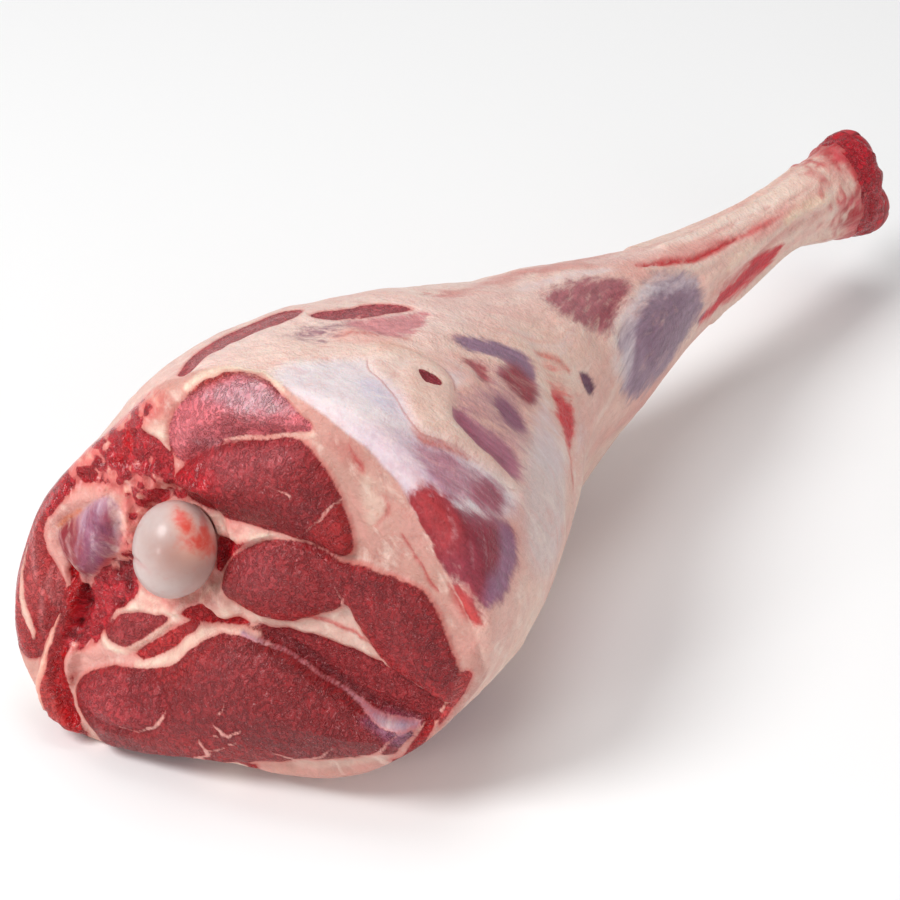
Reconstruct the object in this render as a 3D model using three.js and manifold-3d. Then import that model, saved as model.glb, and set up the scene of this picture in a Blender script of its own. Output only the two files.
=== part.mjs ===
// A raw leg of lamb: the meat with its fat cover, the ball of the thigh bone in the cut face,
// and the bare end of the shank bone. Millimetres, +Z up, shank along +X, lying on its side.
import * as THREE from "three";
import { mergeVertices } from "three/addons/utils/BufferGeometryUtils.js";
import Module from "manifold-3d";

// ---- Driving dimensions ----------------------------------------------------------------
const SHEATH_END_X = 219; // where the sheath of membrane stops round the shank bone
const TABLE_Z = -8; // the table, in the frame that the leg is shaped in
const SEAT_GAP = 0.3; // clearance between a bone and the meat round it

// Sections across the leg, from the butt to the shank's end. y and z place the middle of a
// section, and reach says how far the skin is from it in eight directions, seen from the
// butt: right, up-right, up, up-left, left, down-left, down, down-right.
const SECTIONS = [
  { x: -230, y: 4, z: 64, reach: [84, 78, 70, 52, 74, 86, 62, 78] }, // beyond the cut
  { x: -185, y: 4, z: 64, reach: [87, 78, 72, 55, 76, 90, 66, 79] }, // butt
  { x: -140, y: 4, z: 64, reach: [86, 76, 68, 71, 78, 86, 72, 76] }, // thick of the thigh
  { x: -95, y: 4, z: 62, reach: [73, 66, 62, 71, 76, 78, 74, 69] },
  { x: -50, y: 4, z: 60, reach: [54, 50, 53, 59, 60, 66, 71, 57] },
  { x: -10, y: 4, z: 56, reach: [37, 39, 43, 47, 47, 52, 62, 41] }, // back of the knee
  { x: 35, y: 4, z: 54, reach: [28, 30, 32, 35, 35, 38, 42, 30] }, // calf
  { x: 80, y: 4, z: 49.5, reach: [19, 21, 24, 24, 24, 24, 24, 19] },
  { x: 120, y: 4, z: 48.5, reach: [14, 16, 17, 17, 16, 16, 16, 15] },
  { x: 160, y: 4, z: 47, reach: [12, 13, 14, 14, 13, 13, 13, 12] }, // thinnest
  { x: 194, y: 4, z: 42, reach: [14, 15, 18, 17, 14, 15, 18, 17] }, // flare to the knuckle
  { x: 219, y: 4, z: 39, reach: [15, 17, 22, 21, 15, 17, 22.5, 21] },
];

// The cut face: a plane that leans back and turns a little to the right.
const FACE_CENTRE = new THREE.Vector3(-165, 0, 68);
const FACE_NORMAL = new THREE.Vector3(-0.93, -0.25, 0.26).normalize();
const FACE_UP = new THREE.Vector3(0, 0, 1)
  .addScaledVector(FACE_NORMAL, -FACE_NORMAL.z)
  .normalize();
const FACE_RIGHT = new THREE.Vector3().crossVectors(FACE_UP, FACE_NORMAL);
const FACE_DOMING = 0.0003; // fall of the face towards its rim, mm per square mm
const FACE_RIM_ROUND = 6; // how softly the face turns into the sides
const TABLE_ROUND = 2; // how softly the underside turns into the flat spot
const TIP_ROUND = 4; // how softly the sheath turns into its end
const SEAM_DEPTH = 3; // how far the fat between the muscles lies below the plane
const SEAM_SLOPE = 10; // width over which a muscle rises out of the fat

// The muscles that the cut crosses. An outline is a closed smooth curve through points on the
// face, [to the right, up] from its centre. edge is the height just inside it, crown the rise
// from there to the middle, and roll the width over which it rises.
const MUSCLES = {
  top: {
    edge: -2, crown: 7, roll: 18,
    outline: [[-29, 38], [-30, 49], [-23, 60], [-12, 68], [2, 70], [12, 63], [20, 57], [-9, 46]],
  },
  upper: {
    edge: 1, crown: 8, roll: 18,
    outline: [[-21, 24], [-24, 31], [-16, 40], [-2, 48], [13, 53], [25, 47], [39, 19], [4, 21]],
  },
  eye: {
    edge: 1, crown: 6, roll: 14,
    outline: [[-4, -5], [-5, 4], [3, 13], [16, 19], [31, 18], [40, 2], [31, -4], [18, -10]],
  },
  outer: {
    edge: 1, crown: 5, roll: 14,
    outline: [[39, 16], [56, 15], [69, 10], [81, -14], [78, -23], [58, -18], [40, 1]],
  },
  deep: {
    edge: -7, crown: 2, roll: 10,
    outline: [[7, -15], [40, -16], [56, -17], [75, -25], [74, -32], [43, -31], [26, -22]],
  },
  bottom: {
    edge: 3, crown: 11, roll: 26,
    outline: [[-26, -39], [-14, -26], [0, -18], [12, -19], [47, -34], [66, -36], [57, -47],
      [27, -60], [-9, -71], [-40, -76], [-56, -65], [-52, -47], [-39, -41]],
  },
  small: { edge: -1, crown: 3, roll: 8, outline: [[-47, -32], [-42, -24], [-25, -20], [-33, -29]] },
  tendon: {
    edge: -1, crown: 6, roll: 10,
    outline: [[-67, -1], [-58, 11], [-51, 17], [-44, 14], [-44, 3], [-48, -8], [-55, -12]],
  },
  flap: { edge: 2, crown: 3, roll: 6, outline: [[-60, -14], [-58, -64], [-61, -77], [-70, -54]] },
};
const BALL_HOLLOW = { u: -20, v: 3, radius: 22, depth: 9 }; // the dip that the ball stands in

// Bulges of the muscles under the fat, and the hollow behind the knee: a place, a reach and
// a height.
const BULGES = [
  { at: [-95, -52, 30], reach: 42, height: 5 }, // silverside
  { at: [45, -22, 66], reach: 26, height: 3 }, // calf
  { at: [-8, -40, 42], reach: 16, height: -5 }, // hollow behind the knee
];

// Thigh bone: its ball, on a neck that goes into the meat.
const BALL_RADIUS = 14;
const BALL_STRETCH = 1.18; // the ball is a little longer up the face than across it
const BALL_AT = { u: -22, v: 7, out: 5 }; // the ball's centre on the face, and out of it
const NECK_RADIUS = 10;
const NECK_DEPTH = 38; // from the ball's centre to the neck's blind end

// Shank bone: a shaft in the sheath, with two knobs on its bare end.
const SHAFT_RADIUS = 7;
const SHAFT_DEPTH = 42; // how far the shaft reaches into the sheath
const KNOB_RADIUS = 11.5;
const KNOB_SPREAD = 10.5; // from the bone's axis to each knob's centre
const KNOB_TILT = THREE.MathUtils.degToRad(-24); // lean of the two knobs round the bone

// How finely the skin is divided.
const AROUND = 72;
const FACE_FAN = THREE.MathUtils.degToRad(44); // the fan of rays that meets the cut face
const FACE_FAN_RINGS = 24;
const RIM_RINGS = 9;
const SIDE_RINGS = 17;
const TIP_RINGS = 4;

// ---- Helpers ---------------------------------------------------------------------------
const smoothMax = (a, b, k) => {
  const h = Math.max(k - Math.abs(a - b), 0) / k;
  return Math.max(a, b) + (h * h * k) / 4;
};

// A cubic from value b to value c, with the slopes that a and d before and after them give.
function cubic(a, b, c, d, t) {
  const t2 = t * t;
  const t3 = t2 * t;
  return b + 0.5 * ((c - a) * t + (2 * a - 5 * b + 4 * c - d) * t2 + (3 * b - a - 3 * c + d) * t3);
}

// The middle of the leg at x, and its reach in a direction, smooth along it and round it.
function sectionAt(x) {
  const last = SECTIONS.length - 1;
  let i = 0;
  while (i < last - 1 && x > SECTIONS[i + 1].x) i += 1;
  const t = THREE.MathUtils.clamp((x - SECTIONS[i].x) / (SECTIONS[i + 1].x - SECTIONS[i].x), 0, 1);
  const four = [i - 1, i, i + 1, i + 2].map((n) => SECTIONS[THREE.MathUtils.clamp(n, 0, last)]);
  const between = (read) => cubic(...four.map(read), t);
  const reach = SECTIONS[0].reach.map((_, n) => between((section) => section.reach[n]));
  return { y: between((section) => section.y), z: between((section) => section.z), reach };
}

function reachTowards(reach, dy, dz) {
  const turn = ((Math.atan2(dz, -dy) / (2 * Math.PI)) * 8 + 8) % 8;
  const n = Math.floor(turn);
  const at = (k) => reach[(n + k + 8) % 8];
  return cubic(at(-1), at(0), at(1), at(2), turn - n);
}

// A closed smooth outline as many short chords.
const OUTLINE_CHORDS = 48;
function smoothOutline(points) {
  const curve = new THREE.CatmullRomCurve3(
    points.map(([u, v]) => new THREE.Vector3(u, v, 0)),
    true,
  );
  return curve.getPoints(OUTLINE_CHORDS).slice(0, OUTLINE_CHORDS);
}
for (const muscle of Object.values(MUSCLES)) {
  muscle.chords = smoothOutline(muscle.outline);
}

// Distance from a point to an outline's edge: above 0 inside it, below 0 outside.
function depthInside(chords, u, v) {
  let nearest = Infinity;
  let inside = false;
  chords.forEach((a, i) => {
    const b = chords[(i + 1) % chords.length];
    const [ex, ey] = [b.x - a.x, b.y - a.y];
    const along = THREE.MathUtils.clamp(
      ((u - a.x) * ex + (v - a.y) * ey) / (ex * ex + ey * ey),
      0,
      1,
    );
    nearest = Math.min(nearest, Math.hypot(u - a.x - along * ex, v - a.y - along * ey));
    if (a.y > v !== b.y > v && u < a.x + (ex * (v - a.y)) / ey) inside = !inside;
  });
  return inside ? nearest : -nearest;
}

// ---- The shape of the meat -------------------------------------------------------------
// Height of the cut face over its plane.
function faceRelief(u, v) {
  let height = -SEAM_DEPTH;
  for (const { edge, crown, roll, chords } of Object.values(MUSCLES)) {
    const inside = depthInside(chords, u, v);
    const risen = THREE.MathUtils.smoothstep(inside, -SEAM_SLOPE / 2, SEAM_SLOPE / 2);
    const middle = 1 - (1 - THREE.MathUtils.clamp(inside / roll, 0, 1)) ** 2;
    height += risen * (edge + crown * middle - height);
  }
  const near = Math.hypot(u - BALL_HOLLOW.u, v - BALL_HOLLOW.v) / BALL_HOLLOW.radius;
  height -= BALL_HOLLOW.depth * Math.exp(-(near ** 4));
  return height - FACE_DOMING * (u * u + v * v);
}

// How far a point is outside the meat: about a distance near the surface, 0 on it.
function outside(p) {
  const { y, z, reach } = sectionAt(p.x);
  let side = Math.hypot(p.y - y, p.z - z) - reachTowards(reach, p.y - y, p.z - z);
  for (const bulge of BULGES) {
    const [dx, dy, dz] = [p.x - bulge.at[0], p.y - bulge.at[1], p.z - bulge.at[2]];
    side -= bulge.height * Math.exp(-(dx * dx + dy * dy + dz * dz) / bulge.reach ** 2);
  }
  side = smoothMax(side, TABLE_Z - p.z, TABLE_ROUND);
  const fromFace = p.clone().sub(FACE_CENTRE);
  const relief = faceRelief(fromFace.dot(FACE_RIGHT), fromFace.dot(FACE_UP));
  const face = fromFace.dot(FACE_NORMAL) - relief;
  return smoothMax(smoothMax(side, face, FACE_RIM_ROUND), p.x - SHEATH_END_X, TIP_ROUND);
}

// The surface point in a direction from a point inside: a march out, then a bisection.
const MARCH_STEP = 3;
const HALVINGS = 14;
function castOut(from, direction) {
  let near = 0;
  let far = MARCH_STEP;
  const at = (distance) => from.clone().addScaledVector(direction, distance);
  while (outside(at(far)) < 0) {
    near = far;
    far += MARCH_STEP;
  }
  for (let i = 0; i < HALVINGS; i += 1) {
    const middle = (near + far) / 2;
    if (outside(at(middle)) < 0) near = middle;
    else far = middle;
  }
  return at(near);
}

// Rounds off the steps that the grid leaves where it crosses a seam.
const RELAX_PASSES = 3;
function relax(rings) {
  for (let pass = 0; pass < RELAX_PASSES; pass += 1) {
    for (let i = 1; i + 1 < rings.length; i += 1) {
      const ring = rings[i];
      const relaxed = ring.map((point, j) => {
        const beside = [rings[i - 1][j], rings[i + 1][j]];
        beside.push(ring[(j + 1) % ring.length], ring[(j + ring.length - 1) % ring.length]);
        const mean = beside.reduce((sum, p) => sum.add(p), new THREE.Vector3()).divideScalar(4);
        return point.clone().lerp(mean, 0.5);
      });
      rings[i] = relaxed;
    }
  }
}

// ---- The meat --------------------------------------------------------------------------
const SPINE_START_DEPTH = 100; // the rays to the cut face fan out from this far behind it
const SPINE_END_X = 208;

function middleAt(x) {
  const { y, z } = sectionAt(x);
  return new THREE.Vector3(x, y, z);
}

function makeMeat() {
  const rings = [];
  const radials = [];
  for (let j = 0; j < AROUND; j += 1) {
    const angle = (j / AROUND) * 2 * Math.PI;
    radials.push(new THREE.Vector3(0, Math.cos(angle), Math.sin(angle)));
  }
  const fan = (from, pole, polar) =>
    radials.map((radial) =>
      castOut(
        from,
        pole.clone().multiplyScalar(Math.cos(polar)).addScaledVector(radial, Math.sin(polar)).normalize(),
      ),
    );
  const start = FACE_CENTRE.clone().addScaledVector(FACE_NORMAL, -SPINE_START_DEPTH);
  const end = middleAt(SPINE_END_X);
  const shankward = new THREE.Vector3(1, 0, 0);
  for (let i = 1; i <= FACE_FAN_RINGS; i += 1) {
    const polar = Math.atan(Math.tan(FACE_FAN) * (i / FACE_FAN_RINGS));
    rings.push(fan(start, FACE_NORMAL, polar));
  }
  relax(rings);
  for (let i = 1; i < RIM_RINGS; i += 1) {
    rings.push(fan(start, FACE_NORMAL, THREE.MathUtils.lerp(FACE_FAN, Math.PI / 2, i / RIM_RINGS)));
  }
  for (let i = 0; i <= SIDE_RINGS; i += 1) {
    const from = start.clone().lerp(end, i / SIDE_RINGS);
    rings.push(radials.map((radial) => castOut(from, radial)));
  }
  for (let i = TIP_RINGS - 1; i >= 1; i -= 1) {
    rings.push(fan(end, shankward, (Math.PI / 2) * (i / TIP_RINGS)));
  }
  return closedSkin(castOut(start, FACE_NORMAL), rings, castOut(end, shankward));
}

// A closed mesh from a first point, rings of points round it, and a last point.
function closedSkin(first, rings, last) {
  const around = rings[0].length;
  const positions = [first, ...rings.flat(), last].flatMap((p) => p.toArray());
  const lastIndex = rings.length * around + 1;
  const vertex = (ring, j) => 1 + ring * around + (j % around);
  const index = [];
  for (let j = 0; j < around; j += 1) {
    index.push(0, vertex(0, j + 1), vertex(0, j));
    index.push(lastIndex, vertex(rings.length - 1, j), vertex(rings.length - 1, j + 1));
    for (let ring = 0; ring + 1 < rings.length; ring += 1) {
      index.push(vertex(ring, j), vertex(ring, j + 1), vertex(ring + 1, j));
      index.push(vertex(ring, j + 1), vertex(ring + 1, j + 1), vertex(ring + 1, j));
    }
  }
  const geometry = new THREE.BufferGeometry();
  geometry.setAttribute("position", new THREE.Float32BufferAttribute(positions, 3));
  geometry.setIndex(index);
  return geometry;
}

// ---- Solids for cutting and joining ----------------------------------------------------
const wasm = await Module();
wasm.setup();

function solidOf(geometry) {
  const bare = geometry.clone();
  bare.deleteAttribute("normal");
  bare.deleteAttribute("uv");
  const merged = mergeVertices(bare, 1e-4);
  return new wasm.Manifold(
    new wasm.Mesh({
      numProp: 3,
      vertProperties: merged.attributes.position.array,
      triVerts: new Uint32Array(merged.index.array),
    }),
  );
}

function geometryOf(solid) {
  const mesh = solid.getMesh();
  const geometry = new THREE.BufferGeometry();
  geometry.setAttribute("position", new THREE.BufferAttribute(mesh.vertProperties, 3));
  geometry.setIndex(new THREE.BufferAttribute(mesh.triVerts, 1));
  geometry.computeVertexNormals();
  return geometry;
}

// ---- The bones -------------------------------------------------------------------------
// A round ball on a tapering neck along -Y, as one turned profile; grow widens it all over.
const BALL_SIDES = 24;
const BALL_STEPS = 12;
const NECK_TAPER = 0.9;
function makeThighBone(grow) {
  const radius = BALL_RADIUS + grow;
  const neck = NECK_RADIUS + grow;
  const bottom = -NECK_DEPTH - grow;
  const lap = Math.asin(neck / radius); // where the neck leaves the ball
  const profile = [new THREE.Vector2(0, bottom), new THREE.Vector2(neck * NECK_TAPER, bottom)];
  for (let i = 0; i <= BALL_STEPS; i += 1) {
    const angle = -Math.PI / 2 + lap + ((Math.PI - lap) * i) / BALL_STEPS;
    const across = i === BALL_STEPS ? 0 : radius * Math.cos(angle);
    profile.push(new THREE.Vector2(across, radius * Math.sin(angle)));
  }
  return new THREE.LatheGeometry(profile, BALL_SIDES).scale(1, 1, BALL_STRETCH);
}

// A shaft along X with two knobs side by side on its end.
const KNOB_FLATNESS = 0.85; // length along the bone over width
function makeShankBone(grow) {
  const length = SHAFT_DEPTH + grow;
  const shaft = new THREE.CylinderGeometry(SHAFT_RADIUS + grow, SHAFT_RADIUS + grow, length, 20);
  shaft.rotateZ(Math.PI / 2).translate(SHEATH_END_X - length / 2, 0, 0);
  let bone = solidOf(shaft);
  for (const sign of [1, -1]) {
    const knob = new THREE.SphereGeometry(KNOB_RADIUS + grow, 18, 12);
    knob.scale(KNOB_FLATNESS, 1, 1).translate(SHEATH_END_X - 1, 0, sign * KNOB_SPREAD);
    bone = bone.add(solidOf(knob));
  }
  return geometryOf(bone);
}

// ---- The leg ---------------------------------------------------------------------------
const boneEndAxis = middleAt(SHEATH_END_X);
const ballCentre = FACE_CENTRE.clone()
  .addScaledVector(FACE_RIGHT, BALL_AT.u)
  .addScaledVector(FACE_UP, BALL_AT.v)
  .addScaledVector(FACE_NORMAL, BALL_AT.out);

function placeThighBone(geometry) {
  const turn = new THREE.Quaternion().setFromUnitVectors(new THREE.Vector3(0, 1, 0), FACE_NORMAL);
  return geometry.applyQuaternion(turn).translate(...ballCentre.toArray());
}

function placeShankBone(geometry) {
  return geometry.rotateX(KNOB_TILT).translate(0, boneEndAxis.y, boneEndAxis.z);
}

const finish = {
  meat: new THREE.MeshStandardMaterial({ color: 0xd9a79c, roughness: 0.4, metalness: 0 }),
  bone: new THREE.MeshStandardMaterial({ color: 0xe2d3c8, roughness: 0.3, metalness: 0 }),
  rawBone: new THREE.MeshStandardMaterial({ color: 0xa8323a, roughness: 0.5, metalness: 0 }),
};

const seats = solidOf(placeThighBone(makeThighBone(SEAT_GAP))).add(
  solidOf(placeShankBone(makeShankBone(SEAT_GAP))),
);
const meat = solidOf(makeMeat()).subtract(seats);

const leg = new THREE.Group();
leg.name = "leg_of_lamb";
const pieces = {
  meat: [geometryOf(meat), finish.meat],
  thigh_bone: [placeThighBone(makeThighBone(0)), finish.bone],
  shank_bone: [placeShankBone(makeShankBone(0)), finish.rawBone],
};
for (const [name, [geometry, material]] of Object.entries(pieces)) {
  const mesh = new THREE.Mesh(geometry, material);
  mesh.name = name;
  leg.add(mesh);
}

// The origin is the middle of the bottom of the leg's box.
const box = new THREE.Box3().setFromObject(leg);
const middle = box.getCenter(new THREE.Vector3());
leg.position.set(-middle.x, -middle.y, -box.min.z);

export default leg;
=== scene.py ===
# %% [markdown]
# # A raw leg of lamb
# The leg lies on its side on a pale floor with its cut face towards the camera. Everything
# that shows is made here: the meat with its fat cover, the ball of the thigh bone in the cut
# face, and the knuckle at the end of the shank. Each piece stands for one CAD node.

# %% Load the frame
import math

import bmesh
import bpy
import numpy as np
from mathutils import Matrix, Vector


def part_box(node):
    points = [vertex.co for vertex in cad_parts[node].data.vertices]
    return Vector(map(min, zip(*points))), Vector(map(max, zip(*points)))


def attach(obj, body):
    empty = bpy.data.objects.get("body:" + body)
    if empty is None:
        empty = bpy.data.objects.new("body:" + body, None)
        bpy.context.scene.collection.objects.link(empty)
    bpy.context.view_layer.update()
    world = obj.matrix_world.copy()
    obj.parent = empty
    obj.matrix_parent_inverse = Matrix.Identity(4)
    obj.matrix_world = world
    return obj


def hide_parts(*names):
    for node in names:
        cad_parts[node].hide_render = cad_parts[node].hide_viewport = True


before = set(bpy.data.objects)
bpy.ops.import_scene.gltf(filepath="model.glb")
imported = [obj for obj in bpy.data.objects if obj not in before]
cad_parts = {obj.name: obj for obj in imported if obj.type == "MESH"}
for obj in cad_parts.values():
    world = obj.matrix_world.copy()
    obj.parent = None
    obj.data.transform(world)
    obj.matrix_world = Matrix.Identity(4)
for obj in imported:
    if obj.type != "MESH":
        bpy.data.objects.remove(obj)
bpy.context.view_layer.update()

# %% [markdown]
# ## The drawing frame
# Blender works in metres, but meat is easier to think of in millimetres. So the leg is drawn in
# millimetres round the axis of the shank, as the CAD is, and moved to its place at the end. The
# knuckle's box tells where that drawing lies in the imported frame.

# %% Place of the drawing in the frame
MM = 0.001
KNUCKLE_END_X = 227.775
KNUCKLE_AXIS = (4.0, 39.0)  # y and z of the bone's axis

knuckle_low, knuckle_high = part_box("shank_bone")
origin = np.array(
    [
        knuckle_high.x / MM - KNUCKLE_END_X,
        (knuckle_low.y + knuckle_high.y) / 2 / MM - KNUCKLE_AXIS[0],
        (knuckle_low.z + knuckle_high.z) / 2 / MM - KNUCKLE_AXIS[1],
    ]
)
print("drawing's origin in the frame, mm:", origin.round(2))


def to_frame(points):
    return (points + origin) * MM

# %% [markdown]
# ## The body of the leg
# A leg of lamb is one soft mass that thins from the thigh to the shank and is cut off at the hip.
# It could be sculpted, but then its girths couldn't be read off. Here sections give the girth,
# and a function tells how far any point is outside the skin, so that the cut, the table and the
# tip are rounded into it. Each section has its place, its middle and how far the skin is from
# that in eight directions, seen from the butt: right, up-right, up, up-left, left, down-left,
# down, down-right.

# %% Sections and bulges
SECTIONS = [
    (-230, 4, 64, (84, 78, 70, 52, 74, 86, 62, 78)),
    (-185, 4, 64, (87, 78, 72, 55, 76, 90, 66, 79)),
    (-140, 4, 64, (86, 76, 68, 71, 78, 86, 72, 76)),
    (-95, 4, 62, (73, 66, 62, 71, 76, 78, 74, 69)),
    (-50, 4, 60, (54, 50, 53, 59, 60, 66, 71, 57)),
    (-10, 4, 56, (37, 39, 43, 47, 47, 52, 62, 41)),
    (35, 4, 54, (28, 30, 32, 35, 35, 38, 42, 30)),
    (80, 4, 49.5, (19, 21, 24, 24, 24, 24, 24, 19)),
    (120, 4, 48.5, (14, 16, 17, 17, 16, 16, 16, 15)),
    (160, 4, 47, (12, 13, 14, 14, 13, 13, 13, 12)),
    (194, 4, 42, (14, 15, 18, 17, 14, 15, 18, 17)),
    (219, 4, 39, (15, 17, 22, 21, 15, 17, 22.5, 21)),
]
BULGES = [  # place, reach, height
    ((-95, -52, 30), 42, 5),
    ((45, -22, 66), 26, 3),
    ((-8, -40, 42), 16, -5),
]
SHEATH_END_X = 219
SHANKWARD = np.array([1.0, 0.0, 0.0])
TABLE_Z = -8
TABLE_ROUND = 2
FACE_RIM_ROUND = 6
TIP_ROUND = 4
FACE_DOMING = 0.0003
FAT_LEVEL = -3  # the fat between the muscles lies this far below the face's plane

FACE_CENTRE = np.array([-165.0, 0.0, 68.0])
FACE_NORMAL = np.array([-0.93, -0.25, 0.26])
FACE_NORMAL /= np.linalg.norm(FACE_NORMAL)
FACE_UP = np.array([0.0, 0.0, 1.0]) - FACE_NORMAL * FACE_NORMAL[2]
FACE_UP /= np.linalg.norm(FACE_UP)
FACE_RIGHT = np.cross(FACE_UP, FACE_NORMAL)

# The view that the leg is made for.
VIEW_TURN = math.radians(-52)  # the camera's direction round the leg and above it
VIEW_RISE = math.radians(35)
VIEW_RIGHT = np.array([math.cos(VIEW_TURN), math.sin(VIEW_TURN), 0.0])
VIEW_BACK = np.array(
    [
        math.cos(VIEW_RISE) * math.sin(VIEW_TURN),
        -math.cos(VIEW_RISE) * math.cos(VIEW_TURN),
        math.sin(VIEW_RISE),
    ]
)
VIEW_UP = np.cross(VIEW_BACK, VIEW_RIGHT)

section_x = np.array([s[0] for s in SECTIONS], float)
section_rows = np.array([[s[1], s[2], *s[3]] for s in SECTIONS], float)


def cubic(a, b, c, d, t):
    square, cube = t * t, t * t * t
    bend = (2 * a - 5 * b + 4 * c - d) * square + (3 * b - a - 3 * c + d) * cube
    return b + 0.5 * ((c - a) * t + bend)


def section_at(x):
    last = len(section_x) - 1
    i = np.clip(np.searchsorted(section_x, x, side="left") - 1, 0, last - 1)
    t = np.clip((x - section_x[i]) / (section_x[i + 1] - section_x[i]), 0, 1)
    four = [section_rows[np.clip(i + k, 0, last)] for k in (-1, 0, 1, 2)]
    rows = cubic(*four, t[:, None])
    return rows[:, 0], rows[:, 1], rows[:, 2:]


def turn_of(points, y, z):
    """Direction from the section's middle in degrees: 0 right, 90 up, 180 left, -90 down."""
    return np.degrees(np.arctan2(points[:, 2] - z, -(points[:, 1] - y)))


def smooth_max(a, b, k):
    h = np.maximum(k - np.abs(a - b), 0) / k
    return np.maximum(a, b) + h * h * k / 4


def side_gap(points):
    """How far points are outside the leg's sides and table, face and tip left out."""
    y, z, reach = section_at(points[:, 0])
    eighth = (turn_of(points, y, z) / 45) % 8
    n = np.floor(eighth).astype(int)
    row = np.arange(len(points))
    four = [reach[row, (n + k) % 8] for k in (-1, 0, 1, 2)]
    gap = np.hypot(points[:, 1] - y, points[:, 2] - z) - cubic(*four, eighth - n)
    for at, wide, high in BULGES:
        away = ((points - np.array(at)) ** 2).sum(1)
        gap -= high * np.exp(-away / wide**2)
    return smooth_max(gap, TABLE_Z - points[:, 2], TABLE_ROUND)


def face_place(points):
    """Right, up and out of the cut face's plane."""
    rel = points - FACE_CENTRE
    return rel @ FACE_RIGHT, rel @ FACE_UP, rel @ FACE_NORMAL


def face_gap(points):
    u, v, out = face_place(points)
    return out - (FAT_LEVEL - FACE_DOMING * (u * u + v * v))


def outside(points):
    body = smooth_max(side_gap(points), face_gap(points), FACE_RIM_ROUND)
    return smooth_max(body, points[:, 0] - SHEATH_END_X, TIP_ROUND)


def gradient(field, points, step=0.2):
    slopes = []
    for axis in np.eye(3) * step:
        slopes.append((field(points + axis) - field(points - axis)) / (2 * step))
    return np.stack(slopes, 1)


def settle(points, passes=4):
    """Moves points onto the smooth surface and returns them with its normals."""
    for _ in range(passes):
        slope = gradient(outside, points)
        steep = np.maximum((slope**2).sum(1), 0.2)
        points = points - slope * (outside(points) / steep)[:, None]
    slope = gradient(outside, points)
    return points, slope / np.linalg.norm(slope, axis=1)[:, None]


face_lean = math.degrees(math.asin(FACE_NORMAL[2]))
print("sections:", len(SECTIONS), " the face leans back by degrees:", round(face_lean, 1))

# %% [markdown]
# ## An even skin
# Painting and relief need a skin of small, even squares, which rings round the leg don't give:
# they crowd at its ends. So rays from a spine inside only find a coarse skin. A voxel remesh
# spreads it into even squares, the squares of the cut face are halved, and every point then
# settles on the smooth surface.

# %% Coarse skin from rays
AROUND = 96
FACE_RINGS = 26
SIDE_RINGS = 40
TIP_RINGS = 5
SPINE_DEPTH = 100  # the spine starts this far behind the face
SPINE_END_X = 208
STRIDE = 3.0
STRIDES = 80
HALVINGS = 12


def cast_out(starts, ways):
    """Strides out along each ray until it leaves the leg, then halves the last stride."""
    near = np.zeros(len(starts))
    far = np.full(len(starts), STRIDE)
    for _ in range(STRIDES):
        going = outside(starts + ways * far[:, None]) < 0
        near = np.where(going, far, near)
        far = np.where(going, far + STRIDE, far)
    for _ in range(HALVINGS):
        middle = (near + far) / 2
        inner = outside(starts + ways * middle[:, None]) < 0
        near = np.where(inner, middle, near)
        far = np.where(inner, far, middle)
    return starts + ways * near[:, None]


def coarse_skin():
    angle = np.arange(AROUND) / AROUND * 2 * math.pi
    radial = np.stack([0 * angle, np.cos(angle), np.sin(angle)], 1)
    start = FACE_CENTRE - FACE_NORMAL * SPINE_DEPTH
    y, z, _ = section_at(np.array([SPINE_END_X], float))
    end = np.array([SPINE_END_X, y[0], z[0]])
    rings = []
    for i in range(1, FACE_RINGS + 1):
        polar = math.pi / 2 * i / (FACE_RINGS + 1)
        rings.append((start, FACE_NORMAL * math.cos(polar) + radial * math.sin(polar)))
    for i in range(SIDE_RINGS + 1):
        rings.append((start + (end - start) * i / SIDE_RINGS, radial))
    for i in range(TIP_RINGS - 1, 0, -1):
        polar = math.pi / 2 * i / TIP_RINGS
        rings.append((end, SHANKWARD * math.cos(polar) + radial * math.sin(polar)))
    starts = [start[None]] + [np.repeat(s[None], AROUND, 0) for s, _ in rings] + [end[None]]
    ways = [FACE_NORMAL[None]] + [w for _, w in rings] + [SHANKWARD[None]]
    starts, ways = np.concatenate(starts), np.concatenate(ways)
    points = cast_out(starts, ways / np.linalg.norm(ways, axis=1)[:, None])
    last = len(points) - 1
    faces = []
    for j in range(AROUND):
        k = (j + 1) % AROUND
        faces.append((0, 1 + k, 1 + j))
        faces.append((last, last - AROUND + j, last - AROUND + k))
        for ring in range(len(rings) - 1):
            a = 1 + ring * AROUND
            b = a + AROUND
            faces.append((a + j, a + k, b + k, b + j))
    return points, faces


def new_object(name, points, faces):
    mesh = bpy.data.meshes.new(name)
    mesh.from_pydata(points.tolist(), [], faces)
    mesh.validate()
    made = bpy.data.objects.new(name, mesh)
    bpy.context.scene.collection.objects.link(made)
    return made


def points_of(mesh):
    flat = np.empty(len(mesh.vertices) * 3)
    mesh.vertices.foreach_get("co", flat)
    return flat.reshape(-1, 3)


meat = new_object("leg_meat", *coarse_skin())
print("coarse skin:", len(meat.data.vertices), "points")

# %% Even squares, finer on the face
SQUARE = 1.65  # mm
FACE_MARGIN = -4  # the fine part reaches this far round the rim

remesh = meat.modifiers.new("even", "REMESH")
remesh.mode = "VOXEL"
remesh.voxel_size = SQUARE
remesh.adaptivity = 0
bpy.context.view_layer.update()
even = bpy.data.meshes.new_from_object(
    meat.evaluated_get(bpy.context.evaluated_depsgraph_get())
)
meat.modifiers.clear()

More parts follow.
